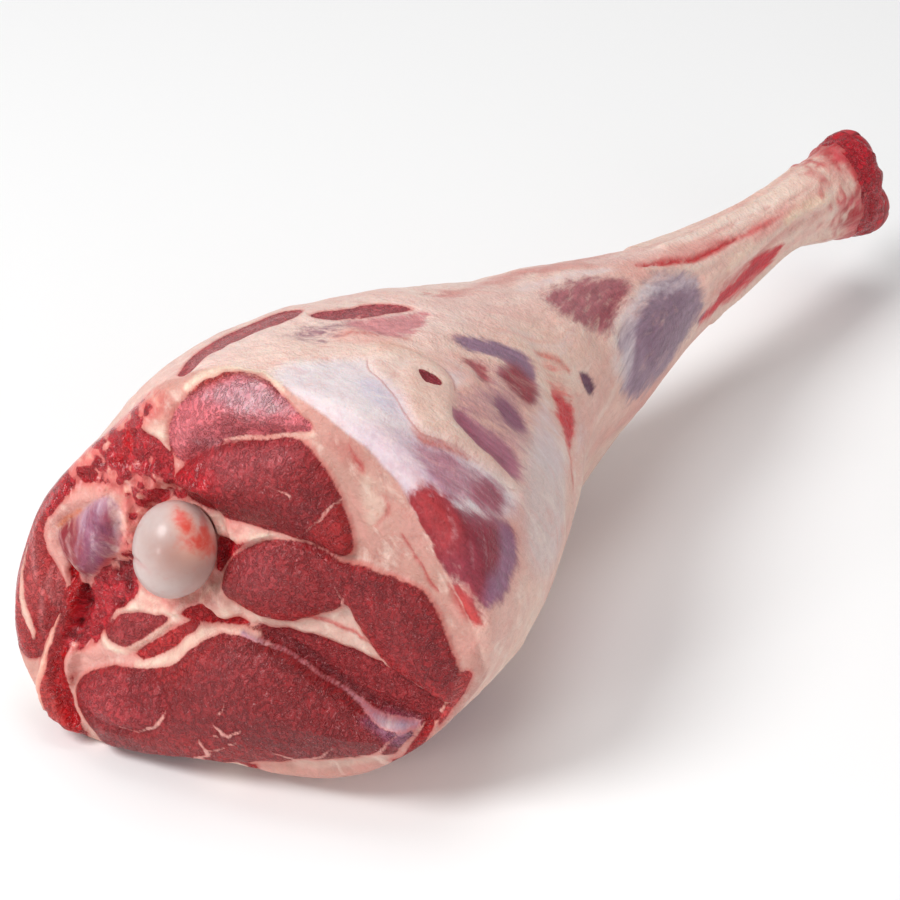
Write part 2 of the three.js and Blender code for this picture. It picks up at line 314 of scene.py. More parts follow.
points = points_of(even)
on_face = face_gap(points) - side_gap(points) > FACE_MARGIN
fine = bmesh.new()
fine.from_mesh(even)
fine.verts.ensure_lookup_table()
edges = [e for e in fine.edges if on_face[e.verts[0].index] and on_face[e.verts[1].index]]
bmesh.ops.subdivide_edges(fine, edges=edges, cuts=1, use_grid_fill=True)
fine.to_mesh(even)
fine.free()
meat.data = even
meat.data.name = "leg_meat"
base, base_normal = settle(points_of(even))
print("even skin:", len(even.vertices), "points,", len(even.polygons), "squares")

# %% [markdown]
# ## Maps of the skin
# What makes raw meat is on its skin: muscles parted by fat, and a cover with bare places. Image
# textures could hold that, but here it is drawn with outlines and strokes on two maps, so that
# the same outline gives both a colour and a relief. One map lies over the cut face, in
# millimetres right and up of its middle. The other goes round the sides, by place along the leg
# and direction round it in degrees. Each layer is a grid that the skin's points read from.

# %% Noise and maps
def smooth_step(low, high, value):
    t = np.clip((value - low) / (high - low), 0, 1)
    return t * t * (3 - 2 * t)


def mix(a, b, amount):
    return a + (b - a) * amount


def soft_noise(shape, cells, seed, wraps=False):
    """Smooth random values from -1 to 1 over a grid, with that many lumps along its sides."""
    random = np.random.default_rng(seed)
    columns = cells[1] if wraps else cells[1] + 2
    lattice = random.uniform(-1, 1, (cells[0] + 2, columns))
    a = np.linspace(0, cells[0], shape[0])
    b = np.linspace(0, cells[1], shape[1], endpoint=not wraps)
    i, j = np.floor(a).astype(int), np.floor(b).astype(int)
    s, t = smooth_step(0, 1, a - i)[:, None], smooth_step(0, 1, b - j)[None]
    after = (j + 1) % columns
    low = mix(lattice[i][:, j], lattice[i][:, after], t)
    high = mix(lattice[i + 1][:, j], lattice[i + 1][:, after], t)
    return mix(low, high, s)


def tint(red, green, blue):
    """A colour in the eye's scale, 0 to 255, as linear light."""
    c = np.array([red, green, blue]) / 255
    return np.where(c <= 0.04045, c / 12.92, ((c + 0.055) / 1.055) ** 2.4)


def smooth_path(points, closed, chords=5):
    """A smooth path through points; any further numbers of a point vary along it too."""
    points = np.array(points, float)
    count = len(points)
    spans = count if closed else count - 1
    path = []
    for i in range(spans):
        if closed:
            four = [points[(i + k) % count] for k in (-1, 0, 1, 2)]
        else:
            four = [points[np.clip(i + k, 0, count - 1)] for k in (-1, 0, 1, 2)]
        path += [cubic(*four, t) for t in np.arange(chords) / chords]
    return np.array(path if closed else path + [points[-1]])


class Map:
    def __init__(self, low, high, steps, wobble, seed, wraps=False):
        self.low = np.array(low, float)
        self.steps = np.array(steps, float)
        a = np.arange(low[0], high[0] + steps[0] / 2, steps[0])
        b = np.arange(low[1], high[1] + (-0.5 if wraps else 0.5) * steps[1], steps[1])
        self.a, self.b = np.meshgrid(a, b, indexing="ij")
        self.shape = self.a.shape
        self.wraps = wraps
        self.seed = seed
        self.squeeze = 1.0  # millimetres across for each unit of b
        span = np.array(self.shape) * self.steps
        for k, (cell, amount) in enumerate(wobble):
            cells = tuple(np.maximum((span / cell).astype(int), 2))
            self.a = self.a + amount * soft_noise(self.shape, cells, seed + k, wraps)
            self.b = self.b + amount * soft_noise(self.shape, cells, seed + 50 + k, wraps)
        self.layers = {}

    def noise(self, cell, seed):
        span = np.array(self.shape) * self.steps
        cells = tuple(np.maximum((span / cell).astype(int), 2))
        return soft_noise(self.shape, cells, self.seed * 100 + seed, self.wraps)

    def window(self, path, margin):
        wide = np.array([margin, margin / self.squeeze])
        low = (path[:, :2].min(0) - wide - self.low) / self.steps
        high = (path[:, :2].max(0) + wide - self.low) / self.steps
        low = np.clip(low.astype(int), 0, self.shape)
        high = np.clip(high.astype(int) + 2, 0, self.shape)
        return slice(low[0], high[0]), slice(low[1], high[1])

    def measure(self, path, margin, closed):
        """The part of the map near a path, the distance to it there, and how wide the path is
        at the nearest point (open paths) or what lies inside it (closed ones)."""
        part = self.window(path, margin)
        a, b = self.a[part], self.b[part] * self.squeeze
        nearest = np.full(a.shape, 1e9)
        found = np.zeros(a.shape, bool) if closed else np.zeros(a.shape)
        ends = np.roll(path, -1, 0) if closed else path[1:]
        for here, there in zip(path, ends):
            (ax, ay), (bx, by) = here[:2], there[:2]
            ay, by = ay * self.squeeze, by * self.squeeze
            ex, ey = bx - ax, by - ay
            t = np.clip(((a - ax) * ex + (b - ay) * ey) / (ex * ex + ey * ey + 1e-9), 0, 1)
            away = np.hypot(a - ax - t * ex, b - ay - t * ey)
            if closed:
                crosses = (ay > b) != (by > b)
                found ^= crosses & (a < ax + ex * (b - ay) / (ey if ey else 1e-9))
            else:
                wide = here[2] + (there[2] - here[2]) * t
                found = np.where(away < nearest, wide, found)
            nearest = np.minimum(nearest, away)
        return part, nearest, found

    def inside(self, outline, margin):
        """Distance inside a closed smooth outline, below 0 outside it."""
        path = smooth_path(outline, True)
        part, nearest, within = self.measure(path, margin, True)
        return part, np.where(within, nearest, -nearest)

    def along(self, points, margin=4):
        """Distance inside a stroke's edge, and how near its middle line is, 1 to 0."""
        path = smooth_path(points, False)
        part, nearest, wide = self.measure(path, margin + path[:, 2].max(), False)
        near = np.clip(1 - nearest / np.maximum(wide, 0.01), 0, 1)
        return part, wide / 2 - nearest, near

    # What can be done to the layers. A shape is a closed outline of (a, b) points with a soft
    # edge, or a stroke of (a, b, width) points that fades from its middle line.
    def amount(self, shape, soft):
        if len(shape[0]) == 3:
            part, _, near = self.along(shape)
            return part, smooth_step(0, 1, near)
        part, depth = self.inside(shape, soft)
        return part, smooth_step(-soft, soft, depth)

    def lift(self, shape, height, soft=0):
        part, amount = self.amount(shape, soft)
        self.layers["height"][part] += height * amount

    def level(self, outline, height, soft):
        part, amount = self.amount(outline, soft)
        self.layers["height"][part] = mix(self.layers["height"][part], height, amount)

    def veil(self, layer, shape, strength, soft=0):
        part, amount = self.amount(shape, soft)
        self.layers[layer][part] = mix(self.layers[layer][part], 1.0, strength * amount)

    def stain(self, layer, shape, strength, colour, soft=0):
        part, amount = self.amount(shape, soft)
        self.stain_part(layer, part, strength * amount, colour)

    def stain_part(self, layer, part, amount, colour):
        old = self.layers[layer][part]
        self.layers[layer][part] = mix(old, np.array(colour), amount[..., None])

    def stain_all(self, layer, amount, colour):
        self.stain_part(layer, slice(None), amount, colour)

    def wet_at_least(self, amount, part=slice(None)):
        self.layers["wet"][part] = np.maximum(self.layers["wet"][part], amount)

    def fat_where(self, part, depth):
        self.layers["lean"][part] = np.minimum(self.layers["lean"][part], -depth)

    def lean_where(self, part, depth):
        self.layers["lean"][part] = np.maximum(self.layers["lean"][part], depth)

    def turn_to(self, kind, shape, height, colour, soft=2):
        """Makes a shape fat or lean, raises it and colours it up to its edge."""
        if len(shape[0]) == 3:
            part, depth, near = self.along(shape)
            risen = smooth_step(0, 1, near)
            coloured = smooth_step(-1.0, 0.3, depth)
        else:
            part, depth = self.inside(shape, 6)
            risen = smooth_step(-soft, soft, depth)
            coloured = smooth_step(-1.5, 0.5, depth)
        if kind == "fat":
            self.fat_where(part, depth)
        else:
            self.lean_where(part, depth)
        self.layers["height"][part] += height * risen
        self.stain_part(kind + "_tint", part, coloured, colour)

    def fat(self, *given):
        self.turn_to("fat", *given)

    def lean(self, *given):
        self.turn_to("lean", *given)

    def report(self, what):
        lean = (self.layers["lean"] > 0).mean()
        print(f"{what}: lean now covers {100 * lean:.1f}% of a map of {self.shape}")

    def muscle(self, outline, edge, crown, roll, slope, colour):
        """A muscle's rounded end: its height at the edge, how much higher its middle is, how
        wide its rounding and its slope are, and its colour."""
        part, depth = self.inside(outline, slope / 2 + 5)
        risen = smooth_step(-slope / 2, slope / 2, depth)
        middle = 1 - (1 - np.clip(depth / roll, 0, 1)) ** 2
        height = self.layers["height"]
        height[part] += risen * (edge + crown * middle - height[part])
        self.lean_where(part, depth)
        self.stain_part("lean_tint", part, smooth_step(-2, 0, depth), colour)

    def read(self, name, a, b):
        layer = self.layers[name]
        s = np.clip((a - self.low[0]) / self.steps[0], 0, self.shape[0] - 1.001)
        t = (b - self.low[1]) / self.steps[1]
        t = t % self.shape[1] if self.wraps else np.clip(t, 0, self.shape[1] - 1.001)
        i, j = np.floor(s).astype(int), np.floor(t).astype(int)
        s, t = s - i, t - j
        j = j % self.shape[1]
        k = (j + 1) % self.shape[1]
        if layer.ndim == 3:
            s, t = s[:, None], t[:, None]
        return mix(mix(layer[i, j], layer[i, k], t), mix(layer[i + 1, j], layer[i + 1, k], t), s)


def new_layers(shape, height, lean_tint, fat_tint, bare_tint):
    """A map's layers before anything is drawn. lean and sheet hold a distance inside their edges
    in millimetres, and the others a share, a height or a colour."""
    plain = dict.fromkeys(("haze", "wet", "bare"), 0.0)
    plain |= {"height": height, "lean": -6.0, "sheet": -6.0}
    layers = {name: np.full(shape, float(value)) for name, value in plain.items()}
    for name, colour in (("lean_tint", lean_tint), ("fat_tint", fat_tint), ("bare_tint", bare_tint)):
        layers[name] = np.ones(shape + (3,)) * colour
    return layers


def wider(stroke, times):
    return [(a, b, width * times) for a, b, width in stroke]


def shifted(stroke, up, width):
    """The same stroke further up, with one width all along."""
    return [(a, b + up, width) for a, b, _ in stroke]

# %% Colours
LEAN = tint(150, 42, 46)
LEAN_DARK = tint(120, 24, 30)
LEAN_PINK = tint(184, 82, 88)
LEAN_BRIGHT = tint(180, 44, 46)
BLOOD = tint(184, 14, 22)
CLOT = tint(84, 6, 10)
FAT = tint(228, 186, 172)
FAT_CREAM = tint(236, 206, 188)
FAT_PINK = tint(220, 158, 148)
FAT_RED = tint(200, 82, 78)
SLATE = tint(112, 88, 112)
MAUVE = tint(150, 100, 116)
PLUM = tint(134, 52, 70)
VIOLET = tint(150, 92, 112)
GREY_VIOLET = tint(152, 124, 140)
print("a lean colour as linear light:", LEAN.round(3))

# %% [markdown]
# ## The cut face
# The saw and knife cross a dozen muscles, which bulge as dark red domes out of the pale fat that
# parts them. Each muscle is a closed outline with its own rounding, so that light rolls over it
# as over the real one, and seams, cords and marbling are strokes of fat laid over them.

# %% Outlines of the muscles and cords
face = Map((-96, -92), (96, 92), (0.5, 0.5), [(9, 0.5), (3, 0.35)], seed=11)
face.layers = new_layers(face.shape, FAT_LEVEL, LEAN, tint(210, 158, 144), LEAN)
face.layers["height"] += face.noise(7, 1) * 0.5 + face.noise(3, 2) * 0.25
face.stain_all("fat_tint", 0.35 + 0.35 * face.noise(12, 3), FAT_PINK)
TOP = [(-29, 38), (-30, 49), (-23, 60), (-12, 68.5), (2, 70.5), (12, 64), (20, 57), (6, 52), (-9, 46),
       (-21, 36)]
UPPER = [(-21, 24), (-26, 30), (-16, 41), (-2, 49), (13, 54), (20, 52), (27, 46), (34, 36), (39, 19),
         (20, 20.5), (4, 21.5), (-11, 22)]
EYE = [(-4, -5), (-5, 4), (3, 13), (16, 19), (31, 18), (39, 14), (40, 2), (31, -4), (18, -10), (5, -10)]
OUTER = [(40, 15.5), (56, 14.5), (67, 11), (75, -2), (81, -14), (79, -23), (70, -23), (58, -18), (48, -9),
         (40, 1)]
DEEP = [(7, -15), (23, -13), (40, -14.5), (56, -17), (75, -24), (74, -32), (61, -34), (43, -31),
        (26, -22)]
BOTTOM = [(-30, -39.5), (-24, -36), (-14, -26), (0, -18.5), (12, -19), (32, -26), (47, -33), (66, -36),
          (62, -45), (57, -48), (27, -58), (-9, -70), (-39, -73), (-50, -66), (-56, -56), (-53, -48),
          (-42, -42)]
SMALL = [(-48, -31), (-42, -24), (-33, -20.5), (-24, -20.5), (-30, -27), (-36, -34), (-42, -35)]
STRIP = [(-37, -38), (-27, -28), (-17, -20), (-13, -20), (-20, -29), (-29, -37)]
TENDON = [(-67, 1), (-62, 6), (-57, 12), (-52, 17), (-47, 16), (-43.5, 12), (-43.5, 5), (-45, -2),
          (-49, -8), (-53, -12), (-59, -12), (-63, -8), (-66, -4)]
FLANK = [(-86, -29), (-81, -9), (-77, 8), (-68, 20), (-66, 10), (-70, 0), (-68, -10), (-62, -20),
         (-64, -34), (-70, -46), (-78, -48)]
FLAP = [(-60, -14), (-56, -20), (-56, -40), (-58, -56), (-51, -66), (-52, -72), (-58, -79), (-67, -68),
        (-71, -54), (-67, -36)]
WEDGE = [(-50, 30), (-50, 40), (-42, 46), (-40, 42), (-34, 42), (-28, 36), (-27, 27), (-36, 31)]
print("points round the bottom muscle:", len(BOTTOM))

# %% Muscles bulging out of the fat
# Each has an outline, its height at the edge, how much higher its middle is, the width of its
# rounding and of its slope, and its colour.
for muscle in (
    (FLANK, -2, 3, 12, 5, LEAN_BRIGHT),
    (TOP, -4.5, 8.5, 17, 3, tint(222, 118, 126)),
    (UPPER, 0, 8, 17, 4, LEAN),
    (EYE, 0, 5, 14, 3, LEAN),
    (OUTER, 0, 5, 14, 3, LEAN),
    (DEEP, -5.5, 1, 10, 4, LEAN),
    (BOTTOM, 0.5, 10, 24, 4, LEAN * 0.93),
    (SMALL, -2, 3, 8, 4, tint(172, 60, 64)),
    (STRIP, -3, 1.5, 4, 3, LEAN_BRIGHT),
    (FLAP, 0, 3, 6, 4, LEAN_BRIGHT),
    (WEDGE, -4, 1, 6, 4, tint(186, 44, 52)),
):
    face.muscle(*muscle)
# Lean along the silver lip, darkened as painted shadow where the deep muscle sinks behind the bottom
# muscle.
SHADED_UNDER_LIP = [(4, -15.5), (24, -18.5), (42, -27), (56, -32.5), (70, -32), (69, -35), (56, -38), (41, -33),
             (28, -28), (14, -22), (4, -19)]
face.lean(SHADED_UNDER_LIP, 0, LEAN * 0.75)
EYE_TO_OUTER = [(30, 17), (40, 16), (50, 15), (50, 8), (41.5, 2.5), (37.5, 3), (31, 8)]
face.lean(EYE_TO_OUTER, 0, LEAN)
face.level(EYE_TO_OUTER, 2.5, 2)
face.lift([(40, 16, 2), (38.5, 10, 2), (39, 4, 2)], -0.8)
face.report("muscles")

# %% The hollow round the ball
BALL_RADIUS = 14
BALL_STRETCH = 1.18
BALL_AT = (-22, 7, 5)  # right, up and out of the face
BALL_HOLLOW = (-20.7, 8, 14.5, 17.5, 3.5)  # right, up, half width, half height, depth
BLOODY_END = [(-27, 29), (-22, 38), (-14, 42), (-7, 40), (-6, 32), (-10, 25), (-18, 23)]
from_ball = np.hypot(
    (face.a - BALL_HOLLOW[0]) / BALL_HOLLOW[2], (face.b - BALL_HOLLOW[1]) / BALL_HOLLOW[3]
)
face.layers["height"] -= BALL_HOLLOW[4] * smooth_step(1.3, 1.05, from_ball)
print("hollow, mm deep:", BALL_HOLLOW[4])

# %% Tones within the muscles
for patch in (
    (BLOODY_END, 0.9, tint(190, 20, 34), 5),
    ([(-16, 30), (5, 31), (20, 36), (27, 42), (34, 33), (33, 22), (4, 22), (-9, 23)], 0.55, LEAN_DARK, 5),
    ([(-19, 41), (-2, 49), (14, 53), (20, 50), (8, 42), (-8, 36)], 0.6, LEAN_PINK, 5),
    ([(30, 34), (34, 36), (39, 20), (28, 20), (26, 26)], 0.7, LEAN_BRIGHT, 2),
    ([(2, 14), (14, 17), (14, 4), (2, 4)], 0.45, LEAN_PINK, 6),
    ([(40, 14), (58, 14), (74, -2), (80, -16), (74, -18), (60, 6), (42, 8)], 0.5, LEAN_DARK, 4),
    ([(-8, -24), (10, -21), (20, -24), (6, -34), (-10, -34)], 0.15, LEAN_PINK, 6),
    # Painted shadow: the deep muscle's low strip darkened under the bottom muscle's lip.
    ([(14, -17), (28, -20), (40, -26), (56, -31), (66, -32), (66, -34), (50, -32), (36, -27), (20, -20)],
      0.6, tint(92, 28, 36), 2),
    ([(-52, -50), (-42, -44), (-26, -42), (-20, -50), (-30, -58), (-46, -60)], 0.75, tint(182, 62, 68),
      4),
    ([(-34, -42), (-26, -42), (-21, -48), (-24, -54), (-32, -52)], 0.5, LEAN_DARK, 4),
    ([(20, -40), (45, -38), (55, -44), (30, -54), (5, -62), (0, -50)], 0.45, LEAN_DARK, 7),
    ([(-20, -66), (20, -63), (30, -57), (-5, -55), (-30, -62)], 0.5, LEAN_BRIGHT, 5),
    ([(-26, -39), (-12, -27), (-2, -20), (-6, -28), (-18, -40)], 0.5, LEAN_BRIGHT, 4),
    ([(44, -5), (57, -17), (75, -24), (80, -19), (60, -12), (48, -4)], 0.55, LEAN_BRIGHT, 2.5),
    ([(0, -10), (18, -10.5), (31, -5), (28, -2), (14, -6), (0, -6)], 0.6, LEAN_BRIGHT, 2),
    ([(-8, 56), (6, 56), (10, 55), (4, 52), (-8, 50)], 0.35, LEAN_DARK, 4),
    ([(-22, 60), (-12, 67), (2, 69), (11, 63), (2, 60), (-12, 60)], 0.75, tint(212, 134, 146), 4),
    ([(-26, 58), (-14, 60), (0, 59), (14, 57), (6, 53), (-10, 52), (-22, 50)], 0.5, tint(220, 108, 116),
      4),
):
    face.stain("lean_tint", *patch)
for outline in (TOP, UPPER, EYE, OUTER, DEEP, BOTTOM, SMALL):
    part, depth = face.inside(outline, 3)
    ring = np.exp(-(((depth - 0.6) / 1.1) ** 2))
    face.stain_part("lean_tint", part, 0.12 * ring, LEAN_BRIGHT)
print("darkest lean on the face:", face.layers["lean_tint"].min(axis=(0, 1)).round(3))

# %% Fat, seams and cords of the cut face
ROPE = [(-20, 21.5), (-14, 22), (-8, 21.5), (2, 21.5), (15, 21), (21, 20.5), (12, 18.5), (6, 16.5), (2, 15),
        (-4, 13), (-9, 12.5), (-13, 15), (-17, 19)]
for seam in (
    (ROPE, 3.5, FAT),
    ([(-10, 47, 0.8), (-3, 49.5, 1.2), (5, 52, 1.2), (12, 54.5, 1.5), (20, 56, 1.8)], 1.0, FAT_CREAM),
    ([(10, 20, 1), (3, 16, 2.5), (-2, 11, 2.5), (-5, 5, 2.5), (-6, 0, 2.5), (-5, -5, 3), (-3, -9, 3)], 2.0,
      FAT_CREAM),
    ([(4, 16, 1.5), (-3, 10, 2), (-8, 2, 2), (-11, -6, 3), (-15, -12, 3)], 1.2, FAT_PINK),
    ([(-12, -7), (-7, -5), (-3, -9), (1, -10), (0, -13), (-5, -15.5), (-9, -13), (-13, -11)], 2.5,
      FAT_CREAM, 1.5),
    ([(-39, -14), (-31, -14.5), (-22, -17), (-19, -19), (-29, -20), (-41, -21)], 1.0, FAT_CREAM, 1.5),
    ([(39, 1), (34, -3), (27, -6), (18, -9.5), (2, -10), (5, -14), (12, -14.5), (25, -12.5), (40, -14),
      (52, -16), (60, -20), (57, -17), (48, -9)], 0.3, FAT),
    ([(-61, -42), (-56, -37.5), (-49, -37), (-42, -37), (-36, -36.5), (-30, -39), (-36, -41), (-44, -42.5),
      (-51, -46), (-59, -50)], 1.0, FAT_PINK),
    ([(-48, -27, 1.0), (-43, -22.5, 1.8), (-37, -20, 2), (-28, -19.5, 1.6)], 1.0, FAT_CREAM),
    ([(-49, -33, 1.8), (-45, -36, 2.4), (-40, -36, 2.2), (-35, -33, 2), (-30, -28, 1.6), (-26, -24, 1.8),
      (-22, -21, 1.2)], 1.2, FAT_CREAM),
    ([(-34, -39.5, 2), (-28, -37, 3.5), (-23, -34, 4), (-18, -30, 4.5), (-14, -25, 4.5), (-9, -21, 4),
      (-4, -18.5, 3), (3, -17, 2.5), (9, -17.5, 2)], 2.2, FAT_CREAM),
    ([(47, -9, 0.8), (55, -14, 1), (58, -18, 1), (65, -21.5, 0.9), (72, -23.4, 0.9), (76, -24, 0.7)], 1.0,
      FAT_CREAM),
    ([(76, -24, 0.6), (76, -27, 0.9), (74.5, -29, 1.6)], 0.8, FAT_CREAM),
    ([(28, -6.5, 0.8), (34, -7, 0.5), (43, -8, 0.5), (50, -11, 0.4)], 0.5, FAT_RED),
):
    face.fat(*seam)
face.report("seams")

# %% The silver edge over the bottom muscle
SILVER_LIP = [(4, -17.4, 1.2), (12, -18.8, 0.9), (20, -20.8, 0.6), (28, -23.8, 0.6), (35, -26.8, 0.6),
              (41, -29.4, 0.8), (47, -32, 1.2), (52, -34, 2), (58, -35.4, 3), (64, -35.5, 3.4),
              (67, -34.5, 2)]
face.lift(shifted(SILVER_LIP, -1.5, 4), 0.5)
face.fat(SILVER_LIP, 0.3, tint(122, 84, 108))
# The pale stroke, set a little below the darker line, is partly the silver skin's colour and partly a
# painted highlight on the lip's rounded edge.
face.stain("fat_tint", [(a, b - 0.3, w * 1.1) for a, b, w in SILVER_LIP], 0.8, tint(196, 170, 188))
face.stain("lean_tint", [(50, -36), (58, -39), (64, -44), (67, -40), (68, -35), (58, -34)], 0.75,
    tint(140, 84, 112), 2.5)
face.veil("haze", [(56, -38), (64, -39), (66, -37), (60, -36)], 0.3, 2)
face.fat([(57, -45, 0.3), (60, -41.5, 0.6), (63.5, -38, 0.5), (66, -36, 0.3)], 0.2, tint(196, 160, 172))
face.fat([(67, -44, 0.6), (68.5, -38, 0.9), (69, -34, 0.8)], 0.8, FAT_CREAM)
face.report("silver edge")

# %% Marbling, and the fat under the bottom muscle
MARBLING = [
    [(-5.6, -56, 0.4), (-5, -57.5, 0.9), (-4, -58.6, 0.6), (-3.4, -60, 0.9), (-2.6, -61.4, 1.3),
     (-3.2, -62.6, 0.8), (-5, -63.2, 0.7), (-6.2, -64.4, 1.3), (-8, -65, 1), (-8.6, -66.8, 1.5),
     (-10, -68, 1.3), (-10.5, -69.5, 2)],
    [(-5.4, -63.6, 0.6), (-4.8, -65, 0.8)],
    [(-3.4, -59.6, 0.7), (-1.2, -59.6, 0.5), (0.6, -59, 0.9), (1.8, -58.2, 0.4), (3.8, -56.8, 0.5)],
    [(5.2, -55.3, 0.7), (6.2, -54.8, 1), (7.3, -54.2, 0.5), (7.5, -53.2, 0.3)],
    [(0.2, -48.4, 0.4), (1.4, -49.6, 0.7), (2.6, -50.2, 1), (3.1, -51.7, 0.8)],
    [(4.2, -51, 0.6), (5.4, -51.5, 0.9), (6.6, -50.2, 0.5), (8.6, -49.1, 0.9), (9.8, -47.9, 0.4)],
    [(-0.2, -52.8, 0.5), (1.4, -52.3, 0.6)],
    [(2, -44.2, 0.3), (2.5, -43.4, 0.7), (3.6, -41.5, 0.3), (4.3, -39.4, 0.4)],
    [(-17.9, -48.9, 0.4), (-18.4, -51, 0.6), (-20.4, -54.2, 1.1), (-21.8, -55.8, 0.6), (-23.4, -57, 0.9),
     (-25.6, -58.3, 0.7), (-28, -59.6, 0.5), (-31, -59, 0.3), (-34, -58.5, 0.4)],
    [(43, -46, 0.2), (36, -53, 0.8), (30, -56, 0.9), (26, -59, 1.6)],
    [(20, -55, 0.3), (24, -56, 0.6), (28, -57.5, 0.8)],
    [(60, -41, 0.6), (57, -45, 0.9), (53, -48.5, 0.8), (48, -50, 0.4)],
    [(39, 5, 0.2), (38.8, 2, 0.9), (39.5, -1, 1.6)],
    [(35, 9, 0.2), (38, 5, 0.4), (39, 3, 0.4)],
    [(33, 37, 0.5), (30.5, 34, 1.0), (29, 31, 0.5), (25, 26, 0.3), (20, 21, 0.3)],
    [(13, 39, 0.2), (18, 38, 0.5), (19, 36, 0.3)],
]
for line in MARBLING:
    face.fat(wider(line, 1.3), 0.3, tint(234, 196, 184))
SEAM_ROUND_BOTTOM_EYE = [(-26, -40, 1), (-20, -45, 3), (-18, -50, 3), (-20, -55, 3), (-27, -59, 3),
                         (-40, -61, 2), (-50, -58, 1)]
face.lift(SEAM_ROUND_BOTTOM_EYE, -1.2)
face.fat([(-21, -73), (-12, -69.5), (0, -65.5), (6, -64.5), (8, -67), (10, -69.5), (0, -73), (-10, -76)],
    0.5, FAT_CREAM, 1)
face.fat([(26, -60.5), (27.5, -57), (40, -54), (52, -49), (57, -46), (58, -49), (46, -55), (32, -60)], 0.5,
    FAT, 1)
face.lean([(7, -65), (10, -64.5), (12.5, -66), (11, -68.5), (8.5, -67.5)], 1.5, BLOOD, 1.5)
face.report("marbling")

# %% Red edges right and below
face.lean([(59, -50), (63, -48), (66, -43), (68.5, -37), (70, -33), (73, -34), (70.5, -42), (67, -48),
    (62, -52)], -1.5, tint(168, 22, 26), 1.5)
face.lean([(75, -34), (79, -28), (83, -18), (84.5, -12.5), (81, -12), (79, -22), (76, -28)], -0.5,
    tint(192, 64, 64), 1.5)
RIM_VEINS = [
    [(33, 56, 0.3), (36, 52, 0.8), (38, 50, 1.4), (40, 48, 0.4)],
    [(44, 43, 1.2), (45, 41.5, 0.8), (47.5, 41, 0.9), (49, 38, 0.8), (48, 34, 0.7), (45, 30, 0.4)],
    [(55, 30, 0.4), (60, 24, 0.6), (64, 19, 0.5), (67, 15, 0.8), (70, 13, 0.4)],
    [(52, 47, 0.3), (60, 40, 0.8), (67, 30, 0.9), (72, 20, 0.8)],
]
for vein in RIM_VEINS:
    face.stain("fat_tint", wider(vein, 1.8), 0.9, FAT_RED)
    face.lift(wider(vein, 1.5), -0.5)
for patch in (
    ([(27, 56), (38, 56), (40, 48), (33, 49)], 0.35, FAT_RED, 3),
    ([(73, 17), (77, 15), (80, 9), (81, 6), (78, 7), (75, 11)], 0.9, tint(194, 78, 74), 1.5),
    ([(40, 47), (46, 44), (48, 36), (44, 30), (41, 36)], 0.6, FAT_CREAM, 3),
):
    face.stain("fat_tint", *patch)
face.report("red edges")

# %% The slit above the top muscle
SLIT = [(-24, 59.5, 0.6), (-19, 64.5, 1.1), (-13.5, 68.6, 1.3), (-8, 70.6, 0.8), (0, 71.6, 0.6),
        (4, 70, 0.6), (8, 66.5, 0.6)]
face.lift(shifted(SLIT, 2.2, 4.5), 2.4)
face.fat(shifted(SLIT, 2.2, 2.6), 0, tint(240, 212, 190))
face.lean(SLIT, -1.4, tint(150, 44, 46))
face.stain("lean_tint", [(-22, 62, 3), (-17, 66, 4), (-11, 70, 3)], 0.5, tint(190, 56, 48))
for film in (
    ([(-19, 61), (-8, 68.5), (2, 70), (9, 66), (15, 62), (0, 60), (-10, 61)], 0.45, 3),
    ([(-8, 60), (4, 60), (6, 56), (-4, 54), (-10, 57)], 0.22, 3),
    ([(-20, 46), (-12, 48), (-10, 44), (-16, 42)], 0.3, 3),
):
    face.veil("haze", *film)
face.lift([(-18, 60, 5), (-6, 60.5, 6), (6, 60, 6), (14, 60, 5)], 1.2)
face.report("slit")

# %% The gristle left of the ball
part, depth = face.inside(TENDON, 6)
risen = smooth_step(-2, 2, depth)
dome = 1 - (1 - np.clip(depth / 9, 0, 1)) ** 2
face.layers["height"][part] += risen * (-1.5 + 6 * dome - face.layers["height"][part])
face.fat_where(part, depth)
face.stain_part("fat_tint", part, smooth_step(-1, 0.5, depth), tint(176, 134, 152))
face.stain("fat_tint", [(-65, 5), (-58, 6), (-53, -3), (-53, -14), (-58, -15), (-65, -7)], 0.9,
    tint(142, 44, 54), 2.5)
for band, strength, colour in (
    ([(-48, 12, 4), (-47, 4, 6), (-48.5, -4, 5.5), (-51, -10, 3)], 0.95, tint(134, 58, 82)),
    ([(-54, 12, 1.5), (-54, 2, 2.5), (-55, -8, 2)], 0.6, tint(164, 92, 120)),
    ([(-66, 5, 5), (-64, -2, 8), (-61, -9, 7)], 0.95, tint(140, 38, 48)),
    ([(-44.5, 12, 1.2), (-44.5, 4, 1.2), (-46, -3, 1)], 0.8, tint(216, 196, 210)),
    ([(-57, 11, 1), (-57.5, 4, 1), (-57, -4, 0.8)], 0.35, tint(208, 176, 194)),
    ([(-51.5, 15, 1.2), (-51.5, 6, 1.2), (-52, -3, 0.8)], 0.7, tint(212, 184, 200)),
    ([(-65, 0, 0.8), (-64, -3, 0.8), (-63, -7, 0.6)], 0.45, tint(216, 160, 166)),
    ([(-62, 0, 0.6), (-60, -5, 0.8), (-59, -10, 0.5)], 0.5, tint(214, 150, 158)),
):
    face.stain("fat_tint", band, strength, colour)
face.veil("bare", [(-55, 12), (-46, 12), (-46, 0), (-50, -8), (-56, -8)], 0.42, 3)
face.stain("bare_tint", TENDON, 1.0, tint(132, 66, 92), 4)
face.report("gristle")

